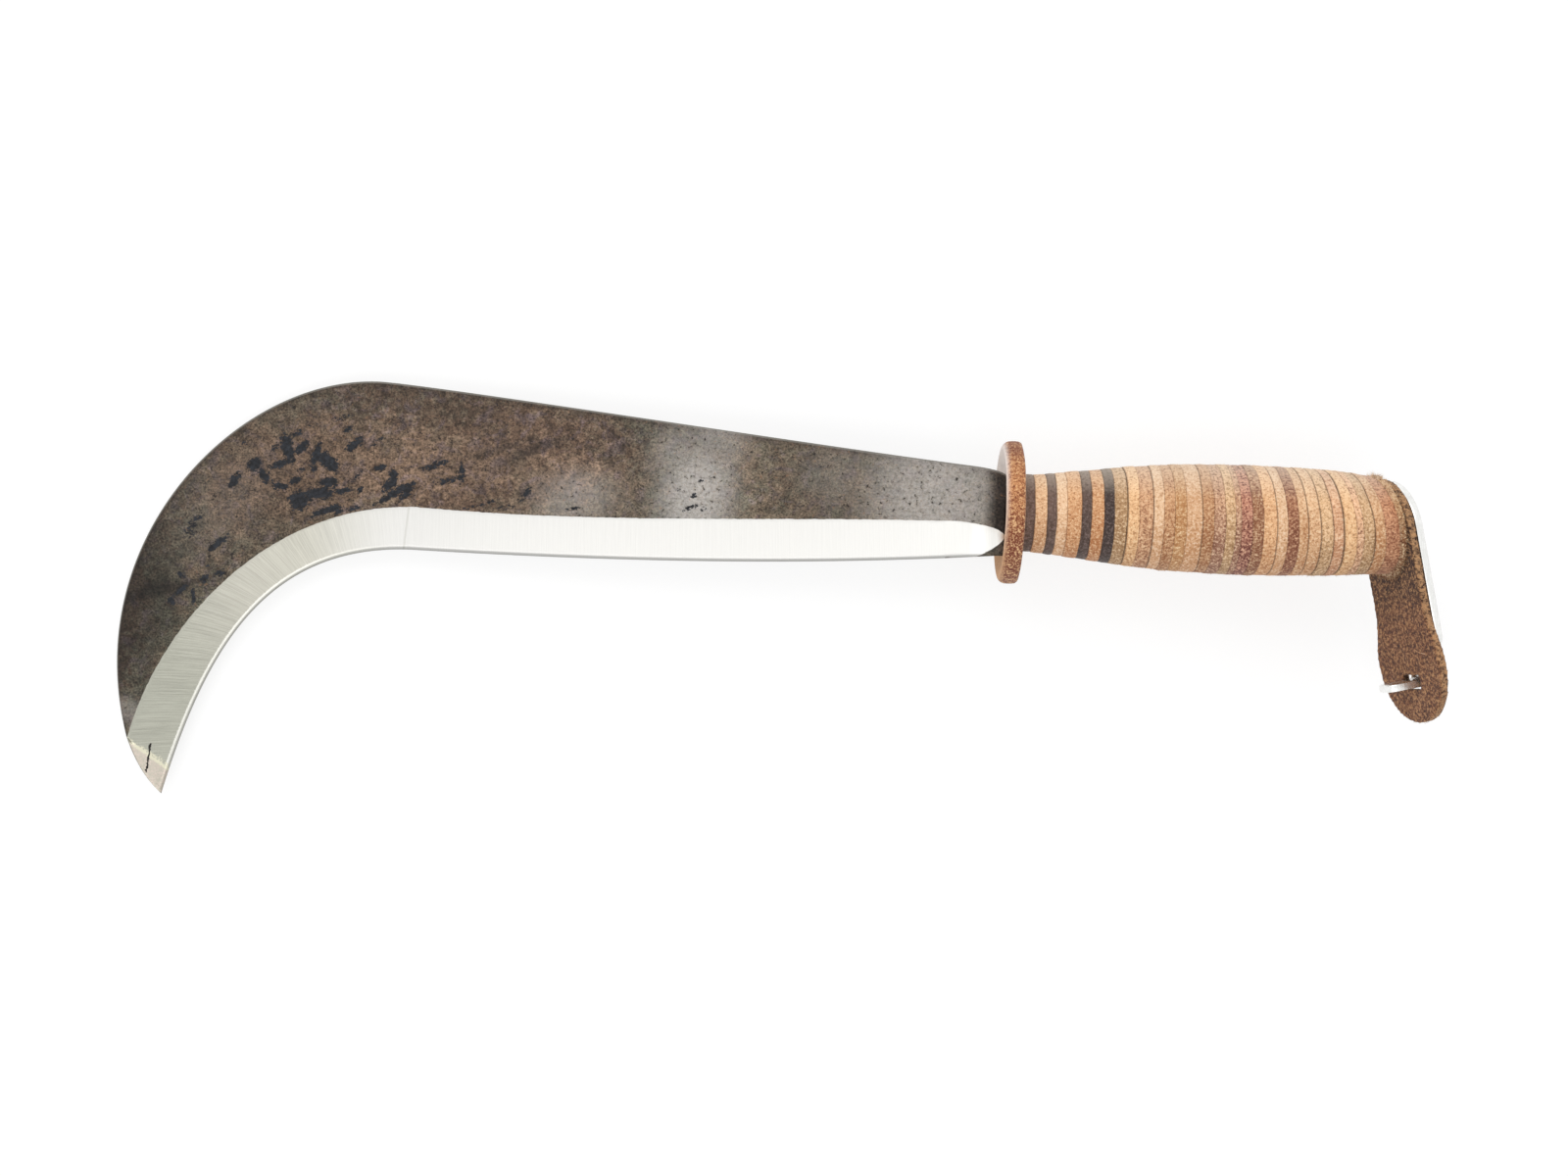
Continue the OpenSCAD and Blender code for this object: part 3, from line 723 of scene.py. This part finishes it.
# Broad fields on the cheeks: (x, y, half length, half width, degrees, strength), in mm
flake_fields = [
    (-236.4, 13.4, 2.1, 0.8, 42, 0.85), (-232.4, 13.5, 4.4, 1.8, -73, 1), (-227.6, 13.9, 3, 1.2, 47, 1),
    (-234.9, 7.9, 3.6, 1, 22, 1), (-243, 7.5, 2.6, 1.8, 52, 1), (-239.7, 4, 2.4, 1.4, -48, 1),
    (-249.4, 2.2, 2.7, 1.2, 52, 0.95), (-246.5, 14.7, 1, 0.7, 22, 0.8), (-229.5, 18.2, 2.2, 0.7, 27, 0.85),
    (-215.2, 23.8, 3.4, 0.9, 17, 0.62), (-223.6, 21.3, 2.4, 0.8, 22, 0.5), (-212.8, 20, 1.6, 0.7, 32, 0.85),
    (-210.5, 15.3, 2.9, 1.3, 40, 1), (-203.6, 16.1, 3.3, 0.7, 42, 0.68), (-223, 11.5, 3.8, 1.2, 72, 1),
    (-219, 9.4, 3.8, 2, -48, 1), (-227.4, 6.5, 1.4, 0.5, 12, 0.9), (-223.6, 6.6, 0.9, 0.9, 2, 0.95),
    (-209.2, 5.1, 2.2, 0.5, 50, 0.9), (-229.5, 2.9, 2, 0.9, 22, 1), (-202, 8, 2, 1, 22, 0.95),
    (-197.7, 5.8, 1.3, 1.4, 12, 1), (-234.5, 0.9, 2.5, 1.1, -8, 1), (-218.5, 2.6, 3.1, 1.3, 10, 1),
    (-228, -3.6, 3, 2.7, 2, 1), (-221.6, -1.1, 4.7, 1.8, 7, 1), (-213.8, 0, 3, 0.8, 12, 1),
    (-208.4, 0.4, 1.3, 0.7, 52, 0.9), (-219.5, -6.7, 5, 1, 20, 1), (-215.4, -6.3, 1.3, 1.4, 62, 1),
    (-210.4, -5.8, 2.5, 0.7, 17, 0.9), (-198.5, 2.8, 3, 1.2, 47, 1), (-197.2, -0.5, 6.3, 0.9, 32, 1),
    (-262.3, -12.2, 4, 1.3, 52, 0.6), (-263.4, -16.1, 2.2, 0.8, 32, 0.55), (-253.9, -18.2, 3.3, 1.1, 42, 0.9),
    (-265.6, -28.9, 1.7, 0.8, -18, 0.95), (-258, -30, 1.4, 1, 32, 0.9), (-253.3, -27.9, 1.8, 0.9, 22, 0.85),
    (-257.3, -25.7, 0.9, 0.5, 2, 0.8), (-265.7, -34, 2.1, 0.8, 37, 1), (-268.6, -37.5, 1.2, 1.2, 2, 1),
    (-261.6, -35.9, 0.6, 2.4, 2, 0.95), (-194.3, 1.6, 4.6, 1, 22, 0.9), (-193.3, -0.4, 2.6, 1, 47, 0.9),
    (-184.4, 9.1, 4.3, 1.2, 22, 0.78), (-179.7, 4.6, 5.3, 1.1, 16, 0.72), (-175.4, 6.7, 0.9, 3.1, 2, 0.8),
    (-154.7, 0.5, 2.8, 1, 52, 0.75), (-170.7, -3.5, 4.4, 0.7, 14, 0.62), (-161.1, -3.7, 3.2, 0.9, 7, 0.62),
    (-165.2, -1.8, 2.9, 0.7, 22, 0.6), (-139.2, -3.5, 2.6, 0.6, 12, 0.66), (-100.4, -1.8, 2.5, 0.8, 22, 0.66),
    (-96.4, -2.1, 1, 0.8, 2, 0.7), (-104.6, 3.9, 0.8, 0.6, 2, 0.75), (-97.4, 7.1, 0.8, 0.6, 2, 0.75),
    (-99.7, 2.3, 1.1, 0.8, 32, 0.8),
]
warm_fields = [(-222, 6, 30, 15, 10, 0.50), (-180, 8, 30, 14, 0, 0.50), (-150, 14, 24, 14, -8, 0.40),
               (-60, 8, 26, 12, -5, 0.15), (-256, -22, 12, 10, 60, 0.10), (-248, -6, 10, 7, 50, 0.35)]
# Dark brown oxide near the spine
blotch_fields = [(-190, 29, 26, 6, -6, 1), (-160, 24, 26, 8, -12, 1), (-138, 20, 16, 8, -12, 0.9),
                 (-283, -44, 22, 4, 82, 0.9), (-270, -14, 9, 3, 60, 0.5), (-175, -2, 16, 4, 10, 0.7)]
# Painted reflections of the lamps on the cheeks, drawn as paler grey patches
painted_sheen_fields = [(-99, 2, 9, 13, -10, 0.80), (-105, 14, 7, 9, -6, 0.35), (-93, 20, 8, 8, -6, 0.38),
                (-138, 0, 10, 7, 10, 0.34), (-20, 4, 18, 15, -4, 0.66), (-52, 10, 10, 8, 0, 0.16),
                (-253, -6, 16, 8, 50, 0.06), (-281, -74, 3, 8, 80, 0.26), (-10, 12, 8, 4, 0, 0.3)]
# Dark soot streaks, and in the first field, at the guard, painted shade where the blade goes into the leather
soot_and_guard_shade_fields = [(1, 2, 4, 16, 0, 0.97), (-117, 8, 4, 18, -8, 0.12), (-153, 15, 12, 1.6, 22, 0.70),
               (-273, -34, 14, 1.9, 12, 0.65), (-164, 15, 10, 1.2, 19, 0.6), (-150, 3, 7, 1.4, 20, 0.4)]
dark_fields = [(-279, -38, 26, 12, 78, 0.60), (-244, 4, 34, 30, 42, 0.24), (-264, -26, 20, 14, 58, 0.18),
               (-190, 30, 24, 8, 0, 0.16), (-122, 16, 7, 16, -8, 0.20), (-94, 22, 8, 8, 0, 0.12),
               (-58, 6, 15, 14, -5, 0.16), (-222, 4, 12, 10, 0, 0.10), (-180, 4, 12, 10, 0, 0.06)]
light_fields = [(-206, -4, 9, 5, 0, 0.10), (-84, 4, 8, 12, 0, 0.20), (-120, 4, 6, 14, 0, 0.14),
                (-192, 24, 8, 6, 0, 0.16), (-150, 16, 10, 6, 0, 0.10), (-136, 12, 8, 8, 0, 0.16),
                (-192, 10, 7, 5, 0, 0.08)]


def field(fields, x, y):
    """The strongest of the fields at a point, fading out towards each one's rim."""
    best = 0
    for fx, fy, long, wide, angle, strength in fields:
        a = radians(angle)
        dx, dy = x - fx, y - fy
        if max(abs(dx), abs(dy)) > 2.6 * max(long, wide):
            continue
        u = (dx * cos(a) + dy * sin(a)) / long
        v = (-dx * sin(a) + dy * cos(a)) / wide
        best = max(best, strength * exp(-(u * u + v * v) ** 1.5 / 2.2))
    return best


blade = wrapped(ring, stations, blade_point)
cells = [(j, i % ring) for j in range(stations + 1) for i in range(ring + 1)]
order = [blade_row(j, i) for j, i in cells]
for column, name in ((1, "ground"), (2, "from_back"), (3, "from_edge")):
    mark(blade, name, [row[column] for row in order])
mark(blade, "along", [along_line[j] for j, _ in cells])
half_lines = [[belt_line(i, x, y) if ground > 0 else 0 for (x, y, _), ground, _, _ in rows]
              for i, rows in enumerate(halves)]
mark(blade, "belt_line", [half_lines[j][min(i, ring - i)] for j, i in cells])
# The far cheek has the same kinds of marks in other places, and only the painted shade at the guard is the
# same
far = [(x, y) if side > 0 else (-x - blade_len, 0.6 * y + 4) for (x, y, _), _, _, _, side in order]
for name, fields in (("flake", flake_fields), ("warm", warm_fields), ("blotch", blotch_fields)):
    mark(blade, name, [field(fields, x, y) for x, y in far])
mark(blade, "sheen", [field(painted_sheen_fields, x, y) * clamp((-1.5 - x) / 4) for x, y in far])
mark(blade, "tone", [0.94 - field(dark_fields, x, y) + field(light_fields, x, y) for x, y in far])
mark(blade, "soot_and_guard_shade", [field(soot_and_guard_shade_fields if side > 0 else soot_and_guard_shade_fields[:1], x, y)
                     for (x, y, _), _, _, _, side in order])
# The grind line and the small cutting bevel stay crisp
grind_row, small_row = 3 + cheek_rows, 3 + cheek_rows + bevel_rows
crisp = {grind_row, small_row, ring - grind_row, ring - small_row}
columns = ring + 1
for edge in blade.data.edges:
    a, b = edge.vertices
    if a % columns == b % columns and a % columns in crisp:
        edge.use_edge_sharp = True
close_seams(blade, cap=True)
fit(blade, "blade_steel", forged_steel(along_line[corner_step]), "forged_steel", "blade")


# ---- Tang, hidden in the grip, and its peened end ----

select()
bpy.ops.mesh.primitive_cube_add(size=1, location=(0.056, 0, 0), scale=(0.124, 0.012, 0.005))
tang = bpy.context.object
bpy.ops.object.transform_apply()
edit(tang)
bpy.ops.mesh.bevel(offset=0.0006, segments=2)
turn = butt.to_4x4() @ Matrix.Rotation(radians(90), 4, "Y")
select()
bpy.ops.mesh.primitive_cylinder_add(vertices=32, radius=0.003, depth=0.0166, rotation=turn.to_euler(),
                                    location=from_butt((-1.7, 0, 0)) * MM)
stud = bpy.context.object
select()
bpy.ops.mesh.primitive_uv_sphere_add(segments=40, ring_count=24, radius=1, location=(0, 0, 0))
head = bpy.context.object
edit(head)
# Hammer blows flattened the head in facets
for tilt, turned_by in ((0, 0), (24, 20), (27, 95), (23, 160), (26, 230), (25, 300), (44, 50), (46, 125),
                        (43, 200), (45, 270), (46, 340)):
    a, t = radians(turned_by), radians(tilt)
    blow = Vector((sin(t) * cos(a), sin(t) * sin(a), cos(t)))
    bpy.ops.mesh.select_all(action="SELECT")
    bpy.ops.mesh.bisect(plane_co=blow * 0.93, plane_no=blow, clear_outer=True, use_fill=True)
bpy.ops.mesh.select_all(action="SELECT")
bpy.ops.mesh.bisect(plane_co=(0, 0, -0.16), plane_no=(0, 0, -1), clear_outer=True, use_fill=True)
bpy.ops.object.mode_set(mode="OBJECT")
head.scale = (5.5 * MM, 5.5 * MM, 2.7 * MM)
head.rotation_euler = turn.to_euler()
head.location = from_butt((lining_t + strap_t + washer_t + 0.45, 0, 0)) * MM
bpy.ops.object.transform_apply()
finish_modifier(head, "BEVEL", width=0.00018, segments=2, limit_method="ANGLE", angle_limit=radians(12))
bpy.ops.object.shade_smooth_by_angle(angle=radians(25))
select(tang, stud, head)
bpy.ops.object.join()
bpy.ops.object.transform_apply()
dull_steel = rolled_steel("peened_steel_hammered_dull", "#77736c", "#a5a29b", 0.38, 0.55)
fit(tang, "tang_and_peened_end", dull_steel, "forged_steel", "blade")


# ---- Guard and discs ----

SIDES = 112
# The hole's radius in each disc, and the gap left between two leathers so that they never touch
hole_r, seam_gap = 6.8, 0.012


def around_axis(i):
    """The angle of side i round the grip's axis."""
    return 2 * pi * i / SIDES


# The guard's section: (x, radius), from the hole over the blade side and the rim to the grip side. The
# blade's shoulder presses its middle in, so the rim stands towards the blade.
guard_section = [(2.2, 6.8), (2.2, 11), (2.1, 14.5), (1.5, 17), (0.8, 19), (0.35, 20.4), (0.2, 21.2),
                 (0.35, 21.9), (0.8, 22.6), (1.45, 23.1), (2.2, 23.34), (3.2, 23.42), (4.4, 23.42),
                 (5.5, 23.32), (6.1, 22.9), (6.32, 22.2), (6.38, 20.8), (6.38, 16), (6.38, 11), (6.3, 6.8),
                 (4, 6.8)]
# Which rows of it are the hide's smooth grain side
guard_smooth = [1, 1, 1, 1, 1, 1, 1, 0.9, 0.5, 0.1, 0, 0, 0, 0, 0, 0.3, 0.9, 1, 1, 1, 1]


def guard_point(i, j):
    """The guard's point at row i of its section, on side j."""
    x, r = guard_section[i % len(guard_section)]
    a = around_axis(j)
    y, z = cos(a), sin(a)
    if r < 7:
        # The hole is cut to the tang's oblong
        r = min(6.4 / max(0.001, abs(y)), 2.9 / max(0.001, abs(z)))
    share = max(0, (r - 14) / 9.5)
    coarse, fine = ripple(y * 23, z * 23, x, 5, 3.1), ripple(y * 23, z * 23, x, 1.8, 9.1)
    r -= share * (0.14 * (1 + coarse) + 0.05 * (1 + fine))
    x += share * (0.16 * ripple(y * 20, z * 20, 0, 9, 5.3) + 0.05)
    return max(0.02, x), r * y, r * z


guard = wrapped(len(guard_section), SIDES, guard_point)
mark(guard, "grain_side", (guard_smooth + guard_smooth[:1]) * (SIDES + 1))
heights = [vertex.co.y / MM for vertex in guard.data.vertices]
# Painted shade: the guard's rim is darker at the top and over its lower half, where it curves away from the
# light
mark(guard, "wear_and_shade", [0.55 * clamp((y - 14) / 6) + 0.35 * clamp(-y / 12) for y in heights])
close_seams(guard)
guard_leather = cut_leather("guard_leather_thick_veg_tanned", "#cf8c58", "#7c3a20", "#f6cb96", 0.85,
                            0.0003, top_light_share=0)
fit(guard, "guard_leather", guard_leather, "leather_guard", "guard")

# The grip's outline: (x, radius)
grip_outline = curve((guard_t, 12.5), (15.5, 0.5), (guard_t + 65, 17.9), (30, 0.2))
grip_outline += curve((guard_t + 65, 17.9), (16, 0.4), (grip_end, 16.2), (20, -1.2))[1:]
grip_outline.append(Vector((grip_end + 12, 15.4)))


def grip_radius(x):
    """The grip's radius at x."""
    if x <= grip_outline[0].x:
        return grip_outline[0].y
    for a, b in zip(grip_outline, grip_outline[1:]):
        if x <= b.x:
            return a.y + (b.y - a.y) * (x - a.x) / (b.x - a.x)
    return grip_outline[-1].y


def seam_point(i, angle):
    """Where seam i meets the grip's surface, at an angle round the axis."""
    place = guard_t + sum(disc_t[:i])
    lean = min(1, sum(disc_t[:i]) / sum(disc_t[:-1])) ** 3
    normal = butt_turn(lean) @ Vector((1, 0, 0))
    c, s = cos(angle), sin(angle)
    x = place
    for _ in range(4):
        x = place - (normal.y * c + normal.z * s) * grip_radius(x) / normal.x
    x += 0.20 * ripple(c * 2.2, s * 2.2, i * 3.7, 1) if 0 < i < len(disc_t) else 0
    r = grip_radius(x)
    return Vector((x, r * c, r * s))


seam_points = [[seam_point(i, around_axis(j)) for j in range(SIDES + 1)] for i in range(len(disc_t) + 1)]
# Groove at each seam, in mm: most discs are sanded flush, and a few stand apart in a dark line
groove = [0.07] * (len(disc_t) + 1)
for i, depth in {0: 0.4, 1: 0.2, 2: 0.15, 3: 0.2, 5: 0.15, 6: 0.15, 9: 0.3, 11: 0.25, 15: 0.2, 22: 0.22,
                 25: 0.22, 26: 0.25, 27: 0.22, 28: 0.35, 31: 0.25}.items():
    groove[i] = depth


def sanded_off(x, upwards):
    """How much the grip's upper corner at the butt is rounded off at x, in mm; upwards is 1 at the top."""
    return 1.3 * clamp((x - 106) / 18) ** 2 * max(0, upwards)


def make_disc(i):
    """Disc i, counted from 1: a slightly uneven leather washer, its rim sanded with its neighbours'."""
    front, back = seam_points[i - 1], seam_points[i]
    thick = disc_t[i - 1]
    size = random.uniform(-0.07, 0.05)
    crown = random.uniform(0.03, 0.14)
    shift = Vector((0, random.uniform(-0.08, 0.08), random.uniform(-0.08, 0.08)))
    # Rows over the rim: mm from the front seam, drop, seam shade
    sides = []
    for deep in (groove[i - 1], groove[i]):
        sides.append([((0.15 + deep) * share, deep * (1 - sqrt(1 - (1 - share) ** 2)),
                       (1 - share) * min(0.9, 0.12 + 1.8 * deep)) for share in (0, 0.25, 0.6, 1)])
    w0, w1 = sides[0][-1][0], sides[1][-1][0]
    rim = sides[0] + [(w0 + (thick - w0 - w1) * share, 0, 0) for share in (0.3, 0.5, 0.7)]
    rim += [(thick - along, drop, shade) for along, drop, shade in reversed(sides[1])]
    section = [("front", hole_r), ("front", 10.5)] + [("rim", row) for row in rim]
    section += [("back", 10.5), ("back", hole_r)]

    def place(column, row):
        kind, value = section[column % len(section)]
        f, b = front[row], back[row]
        if kind == "rim":
            along, drop, _ = value
            t = (seam_gap + along * (thick - 2 * seam_gap) / thick) / thick
            p = f.lerp(b, t)
            r = hypot(p.y, p.z)
            uneven = 0.09 * ripple(*p, 3.5, i) + 0.05 * ripple(*p, 1.4, 2.0 * i)
            new_r = r - drop + size + crown * (1 - (2 * t - 1) ** 2) + uneven - 0.1
            new_r -= sanded_off(p.x, p.y / r)
            return Vector((p.x, p.y * new_r / r, p.z * new_r / r)) + shift
        p = f if kind == "front" else b
        centre = Vector((guard_t + sum(disc_t[:i - 1 if kind == "front" else i]), 0, 0))
        step = p - centre
        q = centre + step * (value / hypot(p.y, p.z))
        return q + Vector((seam_gap if kind == "front" else -seam_gap, 0, 0))

    piece = wrapped(len(section), SIDES, place)
    shades = [value[2] if kind == "rim" else 1.0 for kind, value in section] + [1.0]
    mark(piece, "seam", shades * (SIDES + 1))
    mark(piece, "wear_and_shade", [disc_worn[i - 1]] * len(piece.data.vertices))
    close_seams(piece)
    return piece


def make_end_disc():
    """The last disc: it wasn't sanded with the others and stands proud of them, with a soft, ragged rim."""
    thick = disc_t[-1] * cos(side_lean) * cos(front_lean)
    corner = [(end_round * (1 - cos(a)), end_round * (1 - sin(a)))
              for a in [radians(angle) for angle in range(0, 91, 15)]]
    section = [(seam_gap - thick, hole_r), (seam_gap - thick, 13)]
    section += [(in_by - thick + 0.02, end_r - down_by) for in_by, down_by in corner]
    section += [(-down_by - 0.02, end_r - in_by) for in_by, down_by in corner]
    section += [(-seam_gap, 13), (-seam_gap, hole_r)]

    def place(column, row):
        x, r = section[column % len(section)]
        a = around_axis(row)
        y, z = cos(a), sin(a)
        share = max(0, (r - 13) / 4.8)
        r -= share * sanded_off(grip_end, y)
        coarse, fine = ripple(y * 18, z * 18, x, 5, 2.3), ripple(y * 18, z * 18, x, 1.3, 7.7)
        r -= share * (0.20 * (1 + coarse) + 0.22 * (1 + fine))
        return from_butt((x, r * y, r * z))

    piece = wrapped(len(section), SIDES, place)
    # Painted shade: the last disc's rim is darker on its lower side
    mark(piece, "wear_and_shade", [0.6 * clamp(0.2 - 1.2 * cos(around_axis(j)))
                            for j in range(SIDES + 1) for _ in range(len(section) + 1)])
    close_seams(piece)
    return piece


leathers = {}
for colour_name, (body, deep, fleck, share) in LEATHERS.items():
    leathers[colour_name] = cut_leather("cut_edge_leather_" + colour_name, body, deep, fleck, share,
                                        0.00008 if colour_name == "black" else 0.0003)
rough_golden = cut_leather("cut_edge_leather_golden_left_rough", "#f6c690", "#87552f", "#fde8c0", 0.85,
                           0.0004)
discs = []
for number, colour_name in enumerate(disc_leather, 1):
    disc = make_disc(number) if number < len(disc_t) else make_end_disc()
    discs.append(disc)
    leather = leathers[colour_name] if number < len(disc_t) else rough_golden
    fit(disc, f"disc_{number:02d}_leather", leather, "leather_" + colour_name, f"disc_{number:02d}")


# ---- Belt hook ----

lining = copy_of_node("hook_lining")
finish_modifier(lining, "REMESH", mode="VOXEL", voxel_size=0.00055)
finish_modifier(lining, "SMOOTH", factor=0.5, iterations=3)
for vertex in lining.data.vertices:
    p = vertex.co / MM
    hollow = 0.10 * (1 + ripple(*p, 4, 1.7)) + 0.05 * (1 + ripple(*p, 1.6))
    vertex.co -= vertex.normal * MM * hollow
rim_values, shaded_values = [], []
for vertex in lining.data.vertices:
    p = vertex.co / MM
    local, out, in_slit = to_butt(p, vertex.normal)
    facing = abs(out.x)
    edge_share = clamp(1.15 - 1.35 * facing + 0.35 * ripple(*p, 1.2, 4.4), 0, 0.75)
    rim_values.append(0 if in_slit else edge_share)
    shaded_values.append(0.75 if in_slit and facing < 0.6 else 0.8 * clamp((local.y + 34) / 20))
mark(lining, "rim", rim_values)
mark(lining, "shaded", shaded_values)
select(lining)
bpy.ops.object.shade_smooth()
lining_leather = suede("brown_suede_raised_nap", "#7f4c30", "#34190c", "#c09164")
fit(lining, "hook_lining_suede", lining_leather, "leather_suede", "hook_lining")

strap_steel = rolled_steel("cold_rolled_strap_steel", "#e4e4e1", "#f9f9f7", 0.18, 0.30)
for node in ("hook_strap", "butt_washer"):
    piece = copy_of_node(node)
    edit(piece)
    bpy.ops.mesh.dissolve_limited(angle_limit=radians(1))
    bpy.ops.object.mode_set(mode="OBJECT")
    finish_modifier(piece, "BEVEL", width=0.00035, segments=3, limit_method="ANGLE",
                    angle_limit=radians(40))
    select(piece)
    bpy.ops.object.shade_smooth_by_angle(angle=radians(35))
    fit(piece, node + "_steel", strap_steel, "strap_steel", node)


# ---- Loose fibres ----

def hair(tall, thick, lean, bow, cuts):
    """One tapering three-sided fibre growing up from the origin, bent by lean and bow, in mm."""
    select()
    bpy.ops.mesh.primitive_cone_add(vertices=3, radius1=thick, radius2=0, depth=tall,
                                    location=(0, 0, tall / 2))
    piece = bpy.context.object
    bpy.ops.object.transform_apply()
    bpy.ops.object.mode_set(mode="EDIT")
    for k in range(1, cuts + 1):
        bpy.ops.mesh.select_all(action="SELECT")
        bpy.ops.mesh.bisect(plane_co=(0, 0, tall * k / (cuts + 1)), plane_no=(0, 0, 1))
    bpy.ops.object.mode_set(mode="OBJECT")
    for vertex in piece.data.vertices:
        up = vertex.co.z / tall
        vertex.co.x += lean[0] * up + bow[0] * up * up
        vertex.co.y += lean[1] * up + bow[1] * up * up
    return piece


# A tuft of four fibres, modelled once
tuft_hairs = [hair(1.0, 0.07, (0.1, 0.2), (0.5, -0.1), 2), hair(0.8, 0.06, (-0.3, 0.1), (-0.2, 0.4), 2),
              hair(1.2, 0.06, (0.2, -0.3), (0.1, -0.6), 2), hair(0.6, 0.07, (-0.2, -0.3), (-0.4, 0.2), 2)]
select(*tuft_hairs)
bpy.ops.object.join()
tuft = bpy.context.object


def places_on(piece, count, low, high, chosen):
    """Random places for tufts on the piece's chosen vertices: (root, direction, size), in mm."""
    spots = [vertex for vertex in piece.data.vertices if chosen(vertex.co / MM, vertex.normal)]
    places = []
    for vertex in random.choices(spots, k=count):
        lean = Vector([random.uniform(-0.6, 0.6) for _ in range(3)])
        root = vertex.co / MM - 0.12 * vertex.normal
        places.append((root, vertex.normal + lean, random.uniform(low, high)))
    return places


def sow(original, places, name, material, slot):
    """Copies of a piece at each place, each with its own mesh, joined into one piece."""
    copies = []
    for root, direction, size in places:
        copy = original.copy()
        copy.data = original.data.copy()
        bpy.context.collection.objects.link(copy)
        spin = Matrix.Rotation(random.uniform(0, 6.28), 3, "Z")
        turn = (direction.to_track_quat("Z", "Y").to_matrix() @ spin).to_4x4()
        copy.matrix_world = Matrix.Translation(root * MM) @ turn @ Matrix.Scale(size * MM, 4)
        copies.append(copy)
    select(*copies)
    bpy.ops.object.join()
    bpy.ops.object.transform_apply()
    fit(bpy.context.object, name, material, slot)


def on_rim(co, normal):
    """Whether a disc's vertex is on its rim."""
    return hypot(co.y, co.z) > 12 and abs(normal.x) < 0.9


def low_side(co, normal):
    """Whether it is on the rim's lower side, where the fibres stand up most."""
    return on_rim(co, normal) and co.y < -6 and co.z > -8


def silhouette(co, normal):
    """Whether it is on the rim's top or bottom line, as seen from above."""
    return on_rim(co, normal) and abs(co.z) < 7


end_places = places_on(discs[-1], 520, 0.7, 1.6, on_rim)
for disc in discs[25:33]:
    end_places += places_on(disc, 40, 0.4, 0.8, low_side)
sow(tuft, end_places, "loose_fibres_on_last_discs", rough_golden, "leather_golden")
grip_places = []
for disc in discs[8:33]:
    grip_places += places_on(disc, 24, 0.3, 0.6, silhouette)
sow(tuft, grip_places, "loose_fibres_on_grip", leathers["tan"], "leather_tan")


def lining_edge(co, normal):
    """Whether a vertex is on the lining's edge, away from the slit and the strap."""
    local, out, in_slit = to_butt(co, normal)
    return abs(out.x) < 0.5 and local.y < 6 and not in_slit


lining_places = places_on(lining, 520, 0.3, 0.7, lining_edge)
sow(tuft, lining_places, "loose_fibres_on_lining", lining_leather, "leather_suede")
stray = hair(4.2, 0.2, (0.4, 0.2), (1.1, -0.5), 7)
stray_root = from_butt((-0.1, -43, 14))
sow(stray, [(stray_root, Vector((-0.95, 0.02, 0.3)), 1)], "stray_fibre", leathers["pale"], "leather_pale")
select(tuft, stray)
bpy.ops.object.delete()
